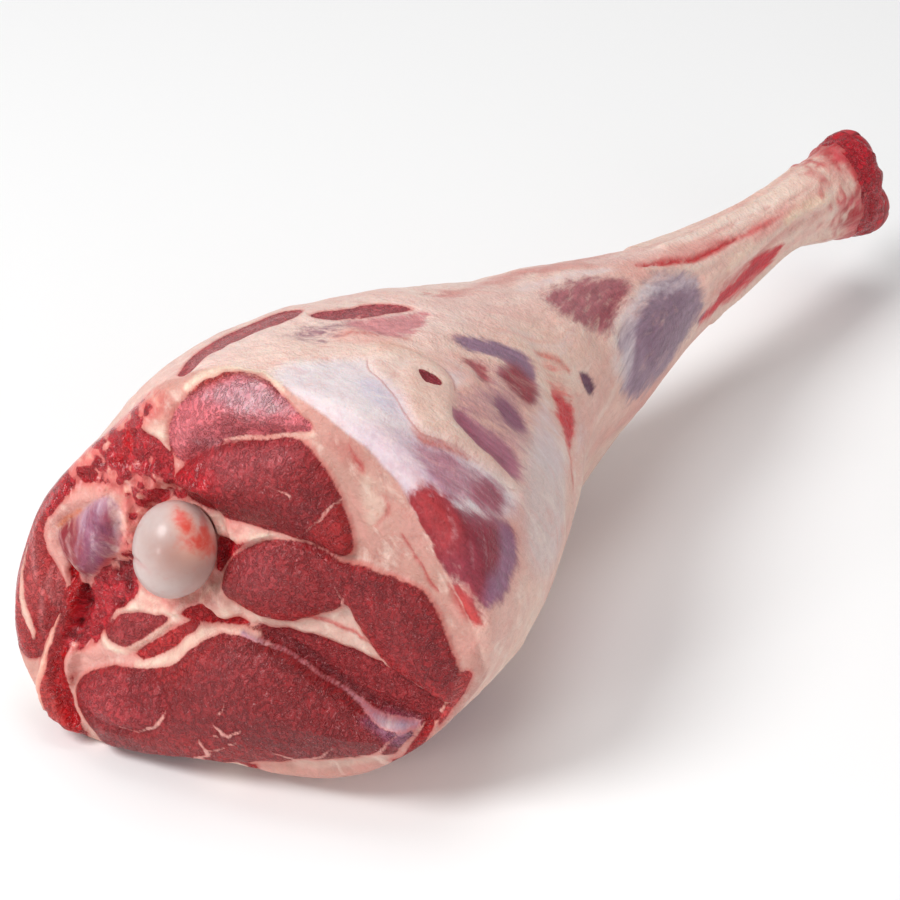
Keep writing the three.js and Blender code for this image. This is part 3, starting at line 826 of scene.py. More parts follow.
# %% Seams and loose strands left of the ball
for seam in (
    ([(-52, 18, 2), (-59, 15, 4), (-66, 9, 4.5), (-69.5, 2, 4), (-69, -5, 4), (-65, -10, 4),
      (-62.5, -15, 2)], 2.0, FAT_PINK),
    ([(-60, 10, 0.6), (-64, 6.5, 1), (-67, 2, 0.8)], 0.5, tint(206, 116, 84)),
    ([(-43, 17, 2), (-41.5, 10, 3), (-41.5, 4, 3), (-43.5, -2, 2.5), (-47, -8, 1.5), (-52, -14, 1),
      (-54, -18, 0.6)], 1.2, FAT_PINK),
    ([(-79.5, -8, 0.8), (-79.5, -16, 1.4), (-78.5, -23, 2), (-76.5, -30, 3), (-74, -36, 2),
      (-73, -40, 0.8)], 0.6, FAT_CREAM),
):
    face.fat(*seam)
face.stain("lean_tint", [(-86, 0), (-76, 4), (-72, -10), (-73, -26), (-80, -34), (-88, -16)], 0.25,
    tint(214, 126, 126), 4)
for pale in (
    [(-68, -12, 1), (-69, -18, 2), (-67, -24, 1.5)],
    [(-66, -14, 1), (-65, -20, 1.5), (-65, -26, 1)],
    [(-71, -20, 1), (-71, -30, 1.5), (-70, -38, 1)],
    [(-76, -2, 1), (-75, -10, 1.5), (-74, -18, 1)],
):
    face.stain("lean_tint", wider(pale, 1.4), 0.5, tint(214, 132, 132))
    face.lift(pale, 0.4)
face.stain("lean_tint", [(-62, -22, 7), (-67, -34, 8), (-71, -44, 5)], 0.6, LEAN)
face.fat([(-62, -27, 0.8), (-65, -34, 2.4), (-67.5, -42, 3.8), (-68.5, -50, 3.8), (-68.5, -58, 3),
    (-66.5, -65, 2)], 2.2, tint(236, 176, 156))
face.lean([(-61, -12, 3), (-59, -18, 4), (-57.5, -26, 4), (-60, -36, 4), (-62, -44, 4), (-62, -52, 4),
    (-59, -60, 4), (-55, -65, 3)], -3.0, BLOOD)
# The bottom of the channel is painted near black: a clot, and painted shade in the groove.
face.lean([(-56.5, -17, 1.5), (-56, -22, 3), (-56, -27, 3), (-58, -31, 1.5)], -4.0, CLOT)
face.stain("lean_tint", [(-68, -52), (-64, -50), (-60, -55), (-54, -64), (-51, -68), (-55, -75), (-59, -78),
    (-66, -68)], 0.8, BLOOD, 2)
for strand in (
    [(-66, -52, 1), (-66, -58, 1.6), (-64, -64, 1.2), (-60, -70, 1)],
    [(-63, -58, 0.8), (-61, -64, 1.4), (-57, -69, 1), (-55, -72, 0.6)],
    [(-64, -66, 1.5), (-61, -72, 2), (-58, -75, 1.5)],
):
    face.stain("lean_tint", wider(strand, 2.2), 0.6, FAT_RED)
    face.lift(wider(strand, 1.6), 0.9)
face.fat([(-59, -50, 0.8), (-57.5, -56, 1.6), (-55, -61, 1.8), (-52, -64.5, 2), (-50, -68, 3),
    (-49.5, -70, 1.5)], 1.0, FAT)
face.report("strands")

# %% Red places round the ball
RAGGED = [(-55, -17), (-50, -10), (-46, -4), (-43, -1.5), (-40, -3), (-38, -9), (-37, -14), (-41, -19),
          (-46, -24), (-49, -30), (-51, -36), (-58, -40), (-61, -36), (-58, -29)]
face.lean(RAGGED, -1.0, tint(192, 40, 50))
# A sunken dark place left of the ball and below it: a clot, and painted shade in the pit.
CLOT_AND_PIT_SHADE_BY_BALL = [(-47, -4), (-42, -2), (-39, -8), (-40, -12), (-44, -13), (-47, -10)]
face.lift(CLOT_AND_PIT_SHADE_BY_BALL, -1, 2)
GAP = [(-10, 11.5), (-5, 12.5), (-1, 13.5), (3, 16), (-1, 11), (-5, 5), (-8, 0), (-10, 2)]
for patch in (
    (GAP, 0.5, tint(200, 30, 42)),
    ([(-20, -17.5), (-13, -12), (-8, -14.5), (-5, -15.5), (0, -13.5), (5, -15), (-4, -17), (-10, -18.5),
      (-17, -19.5)], -0.5, BLOOD, 1.5),
    ([(-40, 14), (-37, 22), (-30, 25), (-23, 24), (-28, 21), (-35, 16)], -1, BLOOD, 1.5),
):
    face.lean(*patch)
face.fat([(-50, 23), (-50, 29), (-42, 30), (-33, 30.5), (-30, 27), (-36, 25), (-42, 22)], 1, FAT_PINK)
face.fat([(-44, 44), (-38, 47), (-33, 50), (-31, 44), (-29.5, 38), (-34, 41), (-38, 42)], 1, FAT_CREAM,
    1.5)
face.stain("fat_tint", [(-60, 24), (-50, 31), (-46, 42), (-40, 52), (-37, 58), (-30, 56), (-32, 48),
    (-38, 44), (-44, 36), (-44, 26), (-52, 20)], 0.75, FAT_RED, 4)
face.report("red places")

# %% Ragged lumps of fat, blood and clots, with painted shade in the pits
ragged_noise = face.noise(4.5, 6) * 0.35 + face.noise(2.4, 7) * 0.4 + face.noise(1.3, 8) * 0.25
crumb_noise = face.noise(3.1, 9) * 0.5 + face.noise(1.5, 10) * 0.5
BEHIND_BALL = [(-78, 8), (-66, 26), (-56, 38), (-50, 50), (-41, 61), (-35, 53), (-40, 44), (-34, 34),
               (-27, 28), (-24, 24), (-32, 20), (-38, 12), (-40, 4), (-40, -2), (-43, 2), (-42, 12),
               (-45, 19), (-54, 20), (-62, 18), (-70, 8)]
for zone in (RAGGED, BEHIND_BALL):
    part, depth = face.inside(zone, 6)
    amount = smooth_step(-3, 2, depth)
    face.layers["height"][part] += amount * 1.8 * ragged_noise[part]
    lean = face.layers["lean"]
    lean[part] = mix(lean[part], lean[part] * 0.15 + 2.6 * ragged_noise[part] + 0.6, amount)
    face.stain_part("lean_tint", part, 0.8 * amount, tint(196, 44, 54))
    face.stain_part("fat_tint", part, amount, tint(226, 122, 116))
    pale = amount * smooth_step(0.0, 0.5, crumb_noise[part])
    face.stain_part("fat_tint", part, 0.8 * pale, tint(240, 186, 164))
    # Dark where the crumbs sink: clots, and painted shade in the pits.
    clots_and_pit_shade = amount * smooth_step(0.05, 0.5, -crumb_noise[part])
    face.stain_part("lean_tint", part, 0.75 * clots_and_pit_shade, tint(128, 12, 22))
    face.layers["height"][part] += 1.2 * amount * crumb_noise[part]
    face.wet_at_least(amount, part)
# The pit left of the ball is painted dark red: a clot, and painted shade.
face.stain("lean_tint", CLOT_AND_PIT_SHADE_BY_BALL, 0.7, tint(112, 10, 18), 2)
face.lean([(-47, 33), (-50, 30), (-46, 31), (-43, 36), (-45, 43)], -0.5, tint(198, 26, 34), 1.5)
face.lean([(-62, 24), (-58, 26), (-55, 24), (-57, 20.5), (-62, 20)], -0.8, tint(166, 18, 28), 1.5)
face.report("clots")

# %% Wet places, the border with the side map, and the fat by the ball
face.veil("wet", BLOODY_END, 0.9, 4)
part, depth = face.inside(BLOODY_END, 6)
face.layers["height"][part] += smooth_step(-1, 4, depth) * 1.6 * ragged_noise[part]
# Dark where the lumps sink: clotted blood, and painted shade in the dips.
clots_and_pit_shade = smooth_step(0, 4, depth) * smooth_step(0.1, 0.5, -ragged_noise[part])
face.stain_part("lean_tint", part, 0.6 * clots_and_pit_shade, tint(140, 14, 26))
face.veil("wet", FLAP, 0.8, 3)
face.veil("wet", GAP, 1, 2)
# Where the map of the cut face counts: not over the rolled edge above and on the right.
CUT = [(-95, 90), (-30, 90), (-18, 78), (-6, 76), (6, 72), (18, 66), (30, 61), (40, 56), (50, 48), (58, 40),
       (65, 30), (70, 22), (76, 14), (82, 5), (88, -8), (95, -20), (95, -90), (-95, -90)]
part, depth = face.inside(CUT, 200)
face.layers["cut"] = np.zeros(face.shape)
face.layers["cut"][part] = smooth_step(-0.8, 0.8, depth)
soaked = smooth_step(2.3, 1.3, from_ball) * smooth_step(-0.6, 0.5, ragged_noise)
face.stain_all("fat_tint", 0.6 * soaked, tint(222, 112, 108))
lumpy = smooth_step(2.2, 1.3, from_ball) * (face.layers["lean"] < 0)
face.layers["height"] += lumpy * (0.9 * crumb_noise + 0.5)
face.wet_at_least(soaked * 0.6)
rim_shade = 1 - 0.16 * smooth_step(15, 32, face.a)
face.layers["fat_tint"] *= rim_shade[..., None]
face.report("blood")

# %% [markdown]
# ## The sides
# A thin cover of fat wraps the thigh. It is cream and pink, and where the butcher's knife took it
# off, the lean shows through dark and streaky or under silver skin. A soft-edged map of how
# bare each place is looks truer than cut-out patches, because the real cover thins out slowly.
# It is drawn by place along the leg and direction round it in degrees: 0 right, 90 up, 180 left.

# %% Cover of fat and its tones
side = Map((-175, -90), (228, 270), (0.8, 1.0), [(16, 1.2), (5, 0.7)], seed=23, wraps=True)
side.layers = new_layers(side.shape, 0, LEAN_BRIGHT, FAT, PLUM)


def mm_per_degree(x):
    _, _, reach = section_at(np.array([float(x)]))
    return math.radians(reach.mean())


def bare(outline, soft, strength, colour, height=-0.8):
    """A patch where the lean shows through the thin cover."""
    side.squeeze = mm_per_degree(np.mean([p[0] for p in outline]))
    part, depth = side.inside(outline, soft * 2.5)
    fresh = side.layers["bare"][part] < 0.02
    covered = smooth_step(-soft * 2.4, -soft * 1.2, depth)
    covered = np.where(fresh, covered, smooth_step(-soft, soft, depth))
    side.stain_part("bare_tint", part, covered, colour)
    amount = strength * smooth_step(-soft * 1.4, soft * 1.4, depth)
    side.layers["bare"][part] = np.maximum(side.layers["bare"][part], amount)
    side.layers["haze"][part] *= 1 - smooth_step(-soft, soft, depth)
    side.lift(outline, height, soft * 1.5)


tone = side.noise(34, 1) * 0.6 + side.noise(13, 2) * 0.4
side.stain_all("fat_tint", 0.7 * smooth_step(-0.3, 0.7, tone), FAT_PINK)
side.stain_all("fat_tint", 0.7 * smooth_step(0.1, 0.8, -tone), FAT_CREAM)
side.layers["height"] += side.noise(24, 3) * 0.9 + side.noise(10, 4) * 0.45
side.layers["height"] += side.noise(3.6, 13) * 0.16
thin = smooth_step(20, 60, side.a)
side.layers["height"] *= 1 - 0.6 * thin
bands = side.noise((70, 16), 5)
pinker = thin * smooth_step(-0.1, 0.6, bands) * 0.6
side.stain_all("fat_tint", pinker, tint(232, 160, 150))
upper_side = smooth_step(60, 90, side.b) * smooth_step(150, 120, side.b) * (1 - thin)
side.stain_all("fat_tint", 0.5 * upper_side, tint(250, 222, 212))
side.report("cover")

# %% Silver skin under the upper edge of the cut
SILVER_BAND = [(-146, 92), (-135, 93), (-122, 91), (-110, 85), (-98, 78), (-92, 73), (-98, 70), (-108, 66),
               (-113, 60), (-116, 54), (-112, 47), (-106, 40), (-99, 31), (-94, 24), (-99, 20), (-111, 21),
               (-125, 27), (-130, 31), (-140, 35), (-146, 40), (-146, 60)]
film = smooth_step(0.0, 0.8, side.noise(28, 11) * 0.6 + side.noise(9, 12) * 0.4)
side.layers["haze"] = film * 0.32 * (1 - thin)
side.squeeze = mm_per_degree(-120)
for outline, soft, strength, colour in (
    ([(-150, 110), (-100, 108), (-70, 84), (-40, 84), (-60, 100), (-110, 122), (-150, 120)], 10, 0.5,
      tint(240, 212, 204)),
    (SILVER_BAND, 4, 0.9, tint(228, 214, 218)),
    ([(-130, 94), (-113, 86), (-92, 73), (-105, 69), (-120, 60), (-136, 62), (-139, 85)], 5, 0.7,
      tint(236, 224, 224)),
    ([(-118, 76), (-109, 73), (-107, 66), (-112, 60), (-116, 56), (-121, 61), (-124, 70)], 3.5, 0.8,
      tint(208, 200, 218)),
    ([(-137, 64), (-123, 55), (-113, 44), (-115, 35), (-126, 33), (-136, 40), (-138, 52)], 4, 0.9,
      tint(208, 180, 192)),
    ([(-124, 49), (-121, 43), (-121, 36), (-130, 35), (-130, 44)], 4, 0.8, tint(184, 128, 152)),
):
    side.stain("fat_tint", outline, strength, colour, soft)
side.veil("haze", SILVER_BAND, 0.42, 4)
side.lift(SILVER_BAND, -0.8, 4)
side.stain("fat_tint", [(-80, 30), (-58, 28), (-50, 14), (-62, 0), (-90, -4), (-102, 10)], 0.7,
    tint(216, 200, 198), 8)
for film in (
    ([(-70, 35), (-50, 38), (-30, 26), (-20, 10), (-40, 4), (-66, 16)], 0.4, 9),
    ([(0, 100), (30, 96), (50, 84), (20, 88), (-4, 92)], 0.45, 5),
    ([(-88, 72), (-80, 66), (-80, 60), (-92, 57), (-98, 64)], 0.4, 3),
):
    side.veil("haze", *film)
side.stain("fat_tint", [(-100, 98), (-87, 101), (-83, 92), (-78, 85), (-90, 84), (-99, 91)], 0.6,
    tint(238, 172, 160), 4)
side.stain("fat_tint", [(-96, 82), (-89, 84), (-82, 77), (-91, 78)], 0.8, tint(232, 156, 130), 2.5)
for vein in (
    [(-98, 97, 1), (-92, 95, 1.4), (-88, 92, 1)],
    [(-83, 90, 1), (-80, 87, 1.4), (-78, 84, 0.8)],
    [(-90, 99, 0.8), (-87, 95, 1.2), (-86, 90, 0.8)],
):
    side.stain("fat_tint", wider(vein, 1.6), 0.8, FAT_RED)
side.report("silver skin")

# %% Patches where the lean shows through the cover
# Each has an outline, how soft its edge is, how strongly it shows, and its colour.
for patch in (
    ([(-112, 107), (-96, 108), (-86, 103), (-94, 98), (-106, 97)], 4, 0.4, MAUVE),
    ([(-87, 103), (-78, 101), (-68, 96), (-57, 93), (-60, 90), (-70, 87), (-80, 87), (-85, 93)], 2.5, 0.8,
      tint(206, 138, 140)),
    ([(-43, 108), (-31, 105), (-27, 103), (-32, 98), (-41, 101)], 3, 0.4, FAT_RED),
    ([(-136, 39), (-131, 39), (-128, 33), (-120, 27), (-111, 21), (-108, 13), (-117, 10), (-125, 8),
      (-134, 8), (-138, 14), (-139, 24), (-138, 35)], 3.5, 0.95, tint(140, 50, 64)),
    ([(-122, 50), (-112, 43), (-101, 31), (-97, 25), (-102, 20), (-112, 21), (-122, 28), (-128, 36)], 5,
      0.55, tint(180, 124, 138)),
    ([(-93, 57), (-81, 56), (-69, 59), (-57, 60), (-46, 57), (-41, 47), (-47, 38), (-60, 35), (-70, 30),
      (-82, 28), (-89, 26), (-95, 29), (-97, 36), (-100, 44)], 6, 0.4, tint(184, 134, 140)),
    ([(-62, 76), (-53, 74), (-45, 67), (-39, 59), (-38, 51), (-41, 46), (-46, 49), (-50, 57), (-55, 64),
      (-60, 70)], 2.5, 0.85, tint(146, 112, 132)),
    ([(-68, 67), (-61, 63), (-61, 58), (-66, 54), (-71, 56), (-70, 62)], 3, 0.7, tint(172, 88, 92)),
    ([(-72, 49), (-65, 46), (-63, 38), (-66, 33), (-73, 36), (-76, 42)], 3, 0.85, tint(142, 86, 108)),
    ([(-98, 52), (-91, 51), (-89, 45), (-85, 40), (-82, 34), (-83, 28), (-89, 25), (-94, 28), (-96, 35),
      (-99, 41), (-101, 47)], 3.5, 0.9, tint(172, 106, 124)),
    ([(-28, 57), (-20, 50), (-17, 41), (-20, 31), (-25, 20), (-34, 12), (-43, 5), (-42, 15), (-40, 27),
      (-38, 38), (-31, 49)], 5, 0.32, tint(222, 128, 118)),
    ([(-12, 39), (-8, 34), (-7, 26), (-11, 23), (-14, 31)], 2, 0.85, tint(108, 64, 84)),
    ([(3, 88), (26, 87), (44, 77), (48, 70), (33, 59), (21, 50), (10, 51), (3, 60), (0, 70), (-1, 78)], 4,
      0.66, tint(166, 100, 106)),
    ([(66, 66), (82, 51), (84, 32), (77, 6), (59, 0), (45, -8), (32, -8), (21, -5), (11, 11), (16, 28),
      (18, 40), (24, 47), (37, 49), (51, 59)], 5, 0.72, GREY_VIOLET),
    ([(-141, 13), (-137, 13), (-137, 6), (-139, 4), (-142, 8)], 1.5, 0.9, tint(190, 70, 68)),
):
    bare(*patch)
side.report("patches")

# %% Darker and redder places in the patches
for outline, soft, strength, colour in (
    ([(-137, 40), (-130, 39), (-129, 33), (-131, 27), (-138, 24)], 5, 0.95, tint(162, 50, 54)),
    ([(-111, 20), (-107, 14), (-114, 9), (-126, 7), (-134, 7), (-131, 13), (-121, 15)], 3, 0.85,
      tint(150, 104, 130)),
    ([(-113, 33), (-106, 31), (-101, 25), (-107, 22), (-113, 25), (-118, 30)], 3, 0.85,
      tint(162, 80, 96)),
    ([(-58, 56), (-47, 56), (-43, 48), (-44, 41), (-51, 37), (-57, 39), (-60, 48)], 4, 0.95,
      tint(146, 54, 64)),
    ([(-98, 51), (-94, 49), (-93, 40), (-89, 33), (-90, 28), (-95, 31), (-98, 39), (-100, 46)], 2, 0.6,
      tint(140, 66, 86)),
    ([(12, 58), (30, 66), (44, 72), (36, 60), (22, 52)], 4, 0.7, tint(142, 64, 74)),
    ([(30, 30), (52, 44), (70, 40), (60, 14), (36, 4)], 7, 0.6, tint(132, 98, 118)),
):
    side.squeeze = mm_per_degree(outline[0][0])
    side.stain("bare_tint", outline, strength, colour, soft)
for outline, soft, more in (
    ([(-113, 33), (-106, 31), (-101, 25), (-107, 22), (-113, 25), (-118, 30)], 3, 0.35),
    ([(-57, 57), (-47, 57), (-42, 49), (-43, 41), (-51, 38), (-57, 41), (-60, 49)], 3, 0.45),
    ([(-35, 39), (-30, 34), (-26, 25), (-34, 17), (-40, 12), (-39, 24), (-37, 32)], 3, 0.6),
):
    side.squeeze = mm_per_degree(outline[0][0])
    side.veil("bare", outline, more, soft)
side.stain("bare_tint", [(-36, 40), (-29, 34), (-25, 25), (-34, 15), (-41, 10), (-40, 24)], 0.95,
    tint(196, 42, 50), 3)
side.report("places in the patches")

# %% Threads of silver skin over the patches
side.squeeze = mm_per_degree(-130)
for line in (
    [(-131, 33, 1.2), (-133, 28, 1.6), (-136, 23, 1)],
    [(-126, 31, 1), (-130, 25, 1.8), (-134, 18, 1)],
    [(-121, 26, 1), (-125, 20, 1.6), (-131, 13, 1)],
    [(-126, 50, 1), (-123, 42, 1.6), (-124, 35, 1)],
    [(-131, 47, 1), (-129, 40, 1.4), (-130, 36, 1)],
    [(-118, 45, 1), (-115, 38, 1.4), (-118, 31, 1)],
):
    side.veil("haze", wider(line, 1.2), 0.26)
side.squeeze = mm_per_degree(60)
side.veil("haze", [(48, 60), (66, 68), (84, 54), (84, 40), (70, 46), (56, 50)], 0.6, 4)
side.veil("haze", [(12, 20), (22, 48), (48, 62), (56, 56), (36, 44), (24, 24), (14, 8)], 0.55, 3)
side.stain("fat_tint", [(8, 30), (22, 50), (50, 63), (62, 66), (48, 56), (26, 42), (14, 20)], 0.7,
    tint(226, 214, 210), 3)
side.report("threads")

# %% Crisp patches with the cover gone
side.squeeze = mm_per_degree(-100)
side.lean([(-160, 118), (-136, 126), (-112, 127), (-92, 125), (-88, 118), (-98, 115), (-109, 117),
    (-136, 119)], -0.8, tint(188, 84, 88), 1.5)
side.lean([(-90, 113), (-79, 112), (-70, 110), (-62, 104), (-59, 97), (-67, 98), (-77, 102), (-88, 107)],
    -0.8, tint(186, 88, 94), 1.5)
side.fat([(-86, 105.5, 0.5), (-76, 104, 0.9), (-66, 102, 0.6)], 0.3, tint(226, 176, 170))
side.squeeze = mm_per_degree(-28)
for line in (
    [(-31, 58, 1), (-25, 54, 1.6), (-20, 48, 1.8), (-18, 42, 1)],
    [(-34, 38, 1.5), (-31, 31, 3), (-29, 24, 3), (-36, 16, 1)],
    [(-40, 20, 1), (-43, 8, 1.5), (-46, -2, 1)],
):
    side.stain("fat_tint", wider(line, 1.6), 0.7, tint(204, 74, 62))
side.report("crisp patches")

# %% A loose sheet of fat over the silver skin
side.squeeze = mm_per_degree(-103)
TONGUE = [(-107, 79), (-96, 84), (-84, 78), (-83, 66), (-88, 58), (-95, 54), (-100, 50), (-99, 46),
          (-98, 42), (-96, 36), (-94, 30), (-91, 23), (-96, 24), (-99, 30), (-103, 35), (-106, 40),
          (-109, 44), (-113, 48), (-117, 52), (-117, 56), (-114, 61), (-111, 67), (-109, 73)]
part, depth = side.inside(TONGUE, 6)
side.layers["sheet"][part] = depth
side.stain("fat_tint", TONGUE, 0.75, tint(234, 200, 184), 5)
side.layers["height"][part] += 0.9 * smooth_step(-0.6, 2.5, depth)
DARK_DOT = [(-97, 64), (-94, 68), (-90.5, 66.5), (-90, 62.5), (-93, 60.5)]
part, depth = side.inside(DARK_DOT, 3)
side.layers["sheet"][part] = np.minimum(side.layers["sheet"][part], -depth)
side.layers["haze"][part] *= smooth_step(1, -1, depth)
side.lean(DARK_DOT, -0.8, tint(150, 44, 56), 1)
# Red stroke under the sheet's lower left edge: partly red tissue, partly painted shadow cast by the sheet.
side.stain("fat_tint", [(-119, 56, 1), (-118, 50, 3), (-113, 45.5, 3), (-108, 40, 1.5)], 0.9,
    tint(196, 84, 66))
side.report("loose sheet")

# %% The slit and the red patch on the shank
side.squeeze = mm_per_degree(90)
SHANK_SLIT = [(60, 83, 0.4), (69, 78, 1.0), (78, 74, 1.4), (88, 67, 1.2), (98, 65, 1.3), (110, 63, 1.5),
              (120, 61, 0.5)]
side.lift(wider(SHANK_SLIT, 1.6), -0.9)
for patch in (
    (wider(SHANK_SLIT, 5), 0.75, tint(224, 84, 86)),
    ([(98, 70, 1), (110, 69, 2.4), (124, 68, 1)], 0.8, tint(222, 70, 72)),
    ([(112, 57, 1), (128, 56, 3), (144, 54, 2), (156, 50, 1)], 0.8, tint(222, 78, 80)),
):
    side.stain("fat_tint", *patch)
side.fat([(60, 76, 1.5), (76, 66, 3), (94, 57, 3.5), (115, 52, 3.5), (135, 50, 2)], 1.2, FAT)
bare([(80, 1), (93, 5), (107, 9), (119, 15), (131, 17), (144, 2), (137, -18), (121, -20),
      (104, -15)], 4, 0.95, tint(206, 44, 56), -1.0)
side.stain("bare_tint", [(104, 0), (116, 8), (128, 10), (136, 0), (124, -10)], 0.6, tint(170, 22, 36), 3)
side.report("slit")

# %% Tendons and streaks along the shank
for band in (
    [(85, 95, 2), (110, 100, 3), (140, 98, 3), (175, 95, 3)],
    [(90, 40, 2), (115, 38, 3.5), (145, 40, 3.5), (180, 35, 3)],
    [(80, 125, 3), (120, 130, 4), (160, 125, 4), (190, 130, 3)],
    [(95, -30, 2), (130, -38, 3), (165, -30, 3), (190, -35, 2)],
    [(70, 160, 4), (120, 165, 4), (170, 170, 3)],
    [(70, 205, 4), (120, 200, 4), (180, 205, 3)],
):
    side.lift(band, 1.1)
    side.stain("fat_tint", band, 0.6, FAT_CREAM)
for line, strength, colour in (
    ([(60, 84, 5), (90, 70, 8), (115, 62, 9), (140, 58, 6), (160, 52, 3)], 0.25, FAT_RED),
    ([(120, 60, 3), (135, 55, 4), (150, 52, 3), (165, 44, 2)], 0.5, tint(214, 84, 84)),
    # Pale along the top of the shank: partly pale tendon, partly a painted highlight.
    ([(84, 96, 3), (110, 92, 5), (140, 84, 5), (165, 80, 3)], 0.7, tint(244, 220, 208)),
    ([(100, 30, 3), (112, 40, 5), (124, 42, 4)], 0.5, tint(238, 204, 178)),
    ([(150, 40, 4), (165, 46, 6), (180, 44, 4)], 0.6, tint(232, 198, 156)),
    ([(140, 28, 1.5), (155, 30, 2.5), (172, 28, 2)], 0.6, FAT_RED),
    ([(-32, 104, 2), (10, 109, 3), (47, 99, 3), (77, 97, 2)], 0.45, FAT_RED),
    ([(0, 116, 2), (40, 112, 3), (90, 104, 2), (130, 104, 1)], 0.4, FAT_RED),
    ([(70, 8, 2), (92, 20, 3), (104, 30, 2)], 0.6, tint(206, 96, 84)),
):
    side.stain("fat_tint", line, strength, colour)
for line in (
    [(88, 82, 1), (120, 84, 1.5), (150, 78, 1)],
    [(120, 68, 1), (150, 66, 1.5), (178, 70, 1)],
    [(100, 20, 1), (140, 24, 1.5), (175, 20, 1)],
    [(60, 140, 1), (110, 146, 1.5), (170, 144, 1)],
    [(60, 180, 1), (110, 184, 1.5), (170, 186, 1)],
):
    side.lift(line, -0.7)
    side.stain("fat_tint", line, 0.6, FAT_RED)
for line, strength, colour in (
    ([(70, 92, 1), (90, 88, 2), (112, 82, 1.5), (128, 80, 1)], 0.5, tint(212, 104, 96)),
    ([(84, 78, 1), (100, 76, 2), (118, 72, 2)], 0.55, tint(214, 88, 86)),
    ([(56, 98, 1), (84, 103, 1.5), (120, 104, 1)], 0.6, tint(204, 112, 98)),
    ([(128, 47, 2), (140, 44, 2.5), (150, 40, 1)], 0.55, tint(218, 84, 86)),
    ([(150, 62, 2), (160, 56, 3), (166, 48, 2)], 0.45, tint(224, 112, 110)),
    # Pale along the top where thigh meets shank: partly pale tissue, partly a painted highlight.
    ([(44, 102, 4), (62, 99, 5), (82, 95, 4)], 0.55, tint(246, 218, 210)),
    ([(96, 14, 1), (112, 22, 1.5), (124, 26, 1)], 0.65, tint(204, 54, 62)),
    ([(100, 23, 0.8), (110, 28, 1.2), (120, 33, 0.8)], 0.55, tint(210, 76, 78)),
    ([(86, 6, 1), (98, 17, 1.6), (106, 22, 0.8)], 0.6, tint(206, 64, 68)),
):
    side.stain("fat_tint", line, strength, colour)
shank_light = smooth_step(40, 80, side.a)
side.stain_all("fat_tint", 0.34 * shank_light, tint(255, 226, 212))
side.stain("fat_tint", wider(SHANK_SLIT, 1.7), 0.95, tint(196, 18, 34))
side.stain("fat_tint", [(122, 62, 1.5), (134, 58, 3), (146, 55, 1.5)], 0.7, tint(208, 52, 60))
side.report("streaks")

# %% The sheath's bloody end at the knuckle
RAW_END_X = 205
sheath_end = smooth_step(168, 200, side.a)
mottle = side.noise((5, 22), 6) * 0.5 + side.noise((2.5, 10), 7) * 0.5
side.layers["height"] += sheath_end * mottle * 0.9
side.stain_all("fat_tint", sheath_end * 0.5, FAT_CREAM)
side.stain_all("fat_tint", sheath_end * smooth_step(0.05, 0.5, mottle) * 0.6, LEAN_BRIGHT)
raw_edge = RAW_END_X + 3 * side.noise((300, 40), 8) + 3 * side.noise((2.5, 12), 9)
raw_edge += 3 * np.cos(np.radians(side.b - 120)) + 2.5 * side.noise((1.4, 7), 14)
grainy = side.noise((2.2, 9), 10)
raw = side.a - raw_edge
reddened = smooth_step(-24, -1, raw + 22 * mottle)
side.stain_all("fat_tint", 0.9 * reddened, tint(206, 66, 76))
bloody = smooth_step(-15, -1, raw + 19 * side.noise((3.5, 14), 15))
side.stain_all("fat_tint", 0.85 * bloody, tint(176, 22, 36))
side.lean_where(slice(None), np.clip(raw, -6, 4))
side.stain_all("lean_tint", smooth_step(-3, 0, raw), tint(186, 26, 42))
side.layers["height"] += smooth_step(-1, 2, raw) * (0.7 * grainy - 0.2)
side.wet_at_least(smooth_step(-1, 2, raw) * 0.5)
side.report("bloody end")

# %% The far side and the underside
BACK_PATCHES = [
    ([(-120, 165), (-90, 172), (-60, 168), (-50, 155), (-75, 148), (-105, 150)], 4, 0.6, VIOLET),
    ([(-110, 205), (-85, 215), (-60, 208), (-66, 195), (-95, 192)], 4, 0.7, PLUM),
    ([(-40, 180), (-10, 186), (15, 176), (-5, 160), (-32, 164)], 4, 0.6, LEAN_PINK),
    ([(-30, 225), (0, 230), (30, 222), (12, 208), (-20, 210)], 4, 0.6, SLATE * 1.4),
    ([(40, 150), (66, 160), (84, 150), (66, 134), (46, 138)], 3, 0.6, LEAN_BRIGHT),
    ([(-130, -50), (-100, -40), (-78, -50), (-100, -64), (-124, -66)], 4, 0.6, PLUM),
    ([(-60, -30), (-36, -22), (-16, -34), (-34, -52), (-56, -46)], 4, 0.6, LEAN_PINK),
]
for outline, soft, strength, colour in BACK_PATCHES:
    bare(outline, soft * 1.5, 0.3 + strength, mix(colour, FAT_PINK, 0.3))
    side.veil("haze", outline, 0.25, soft * 2.5)
side.squeeze = mm_per_degree(-100)
side.veil("haze", [(-140, 190), (-120, 200), (-100, 195), (-108, 170), (-132, 165)], 0.5, 12)
side.veil("haze", [(-60, 195), (-36, 205), (-16, 198), (-30, 178), (-54, 180)], 0.45, 10)
side.report("far side")

# %% [markdown]
# ## The meat
# Now the maps become meat. Each point of the skin reads both: the face's relief lifts it straight
# out of the cut, the side's relief along the skin, and the painted layers go on as attributes
# for the material. Real displacement is used for what is deeper than a millimetre, since only
# that changes the outline and casts shadows, and bumps in the material do the rest.

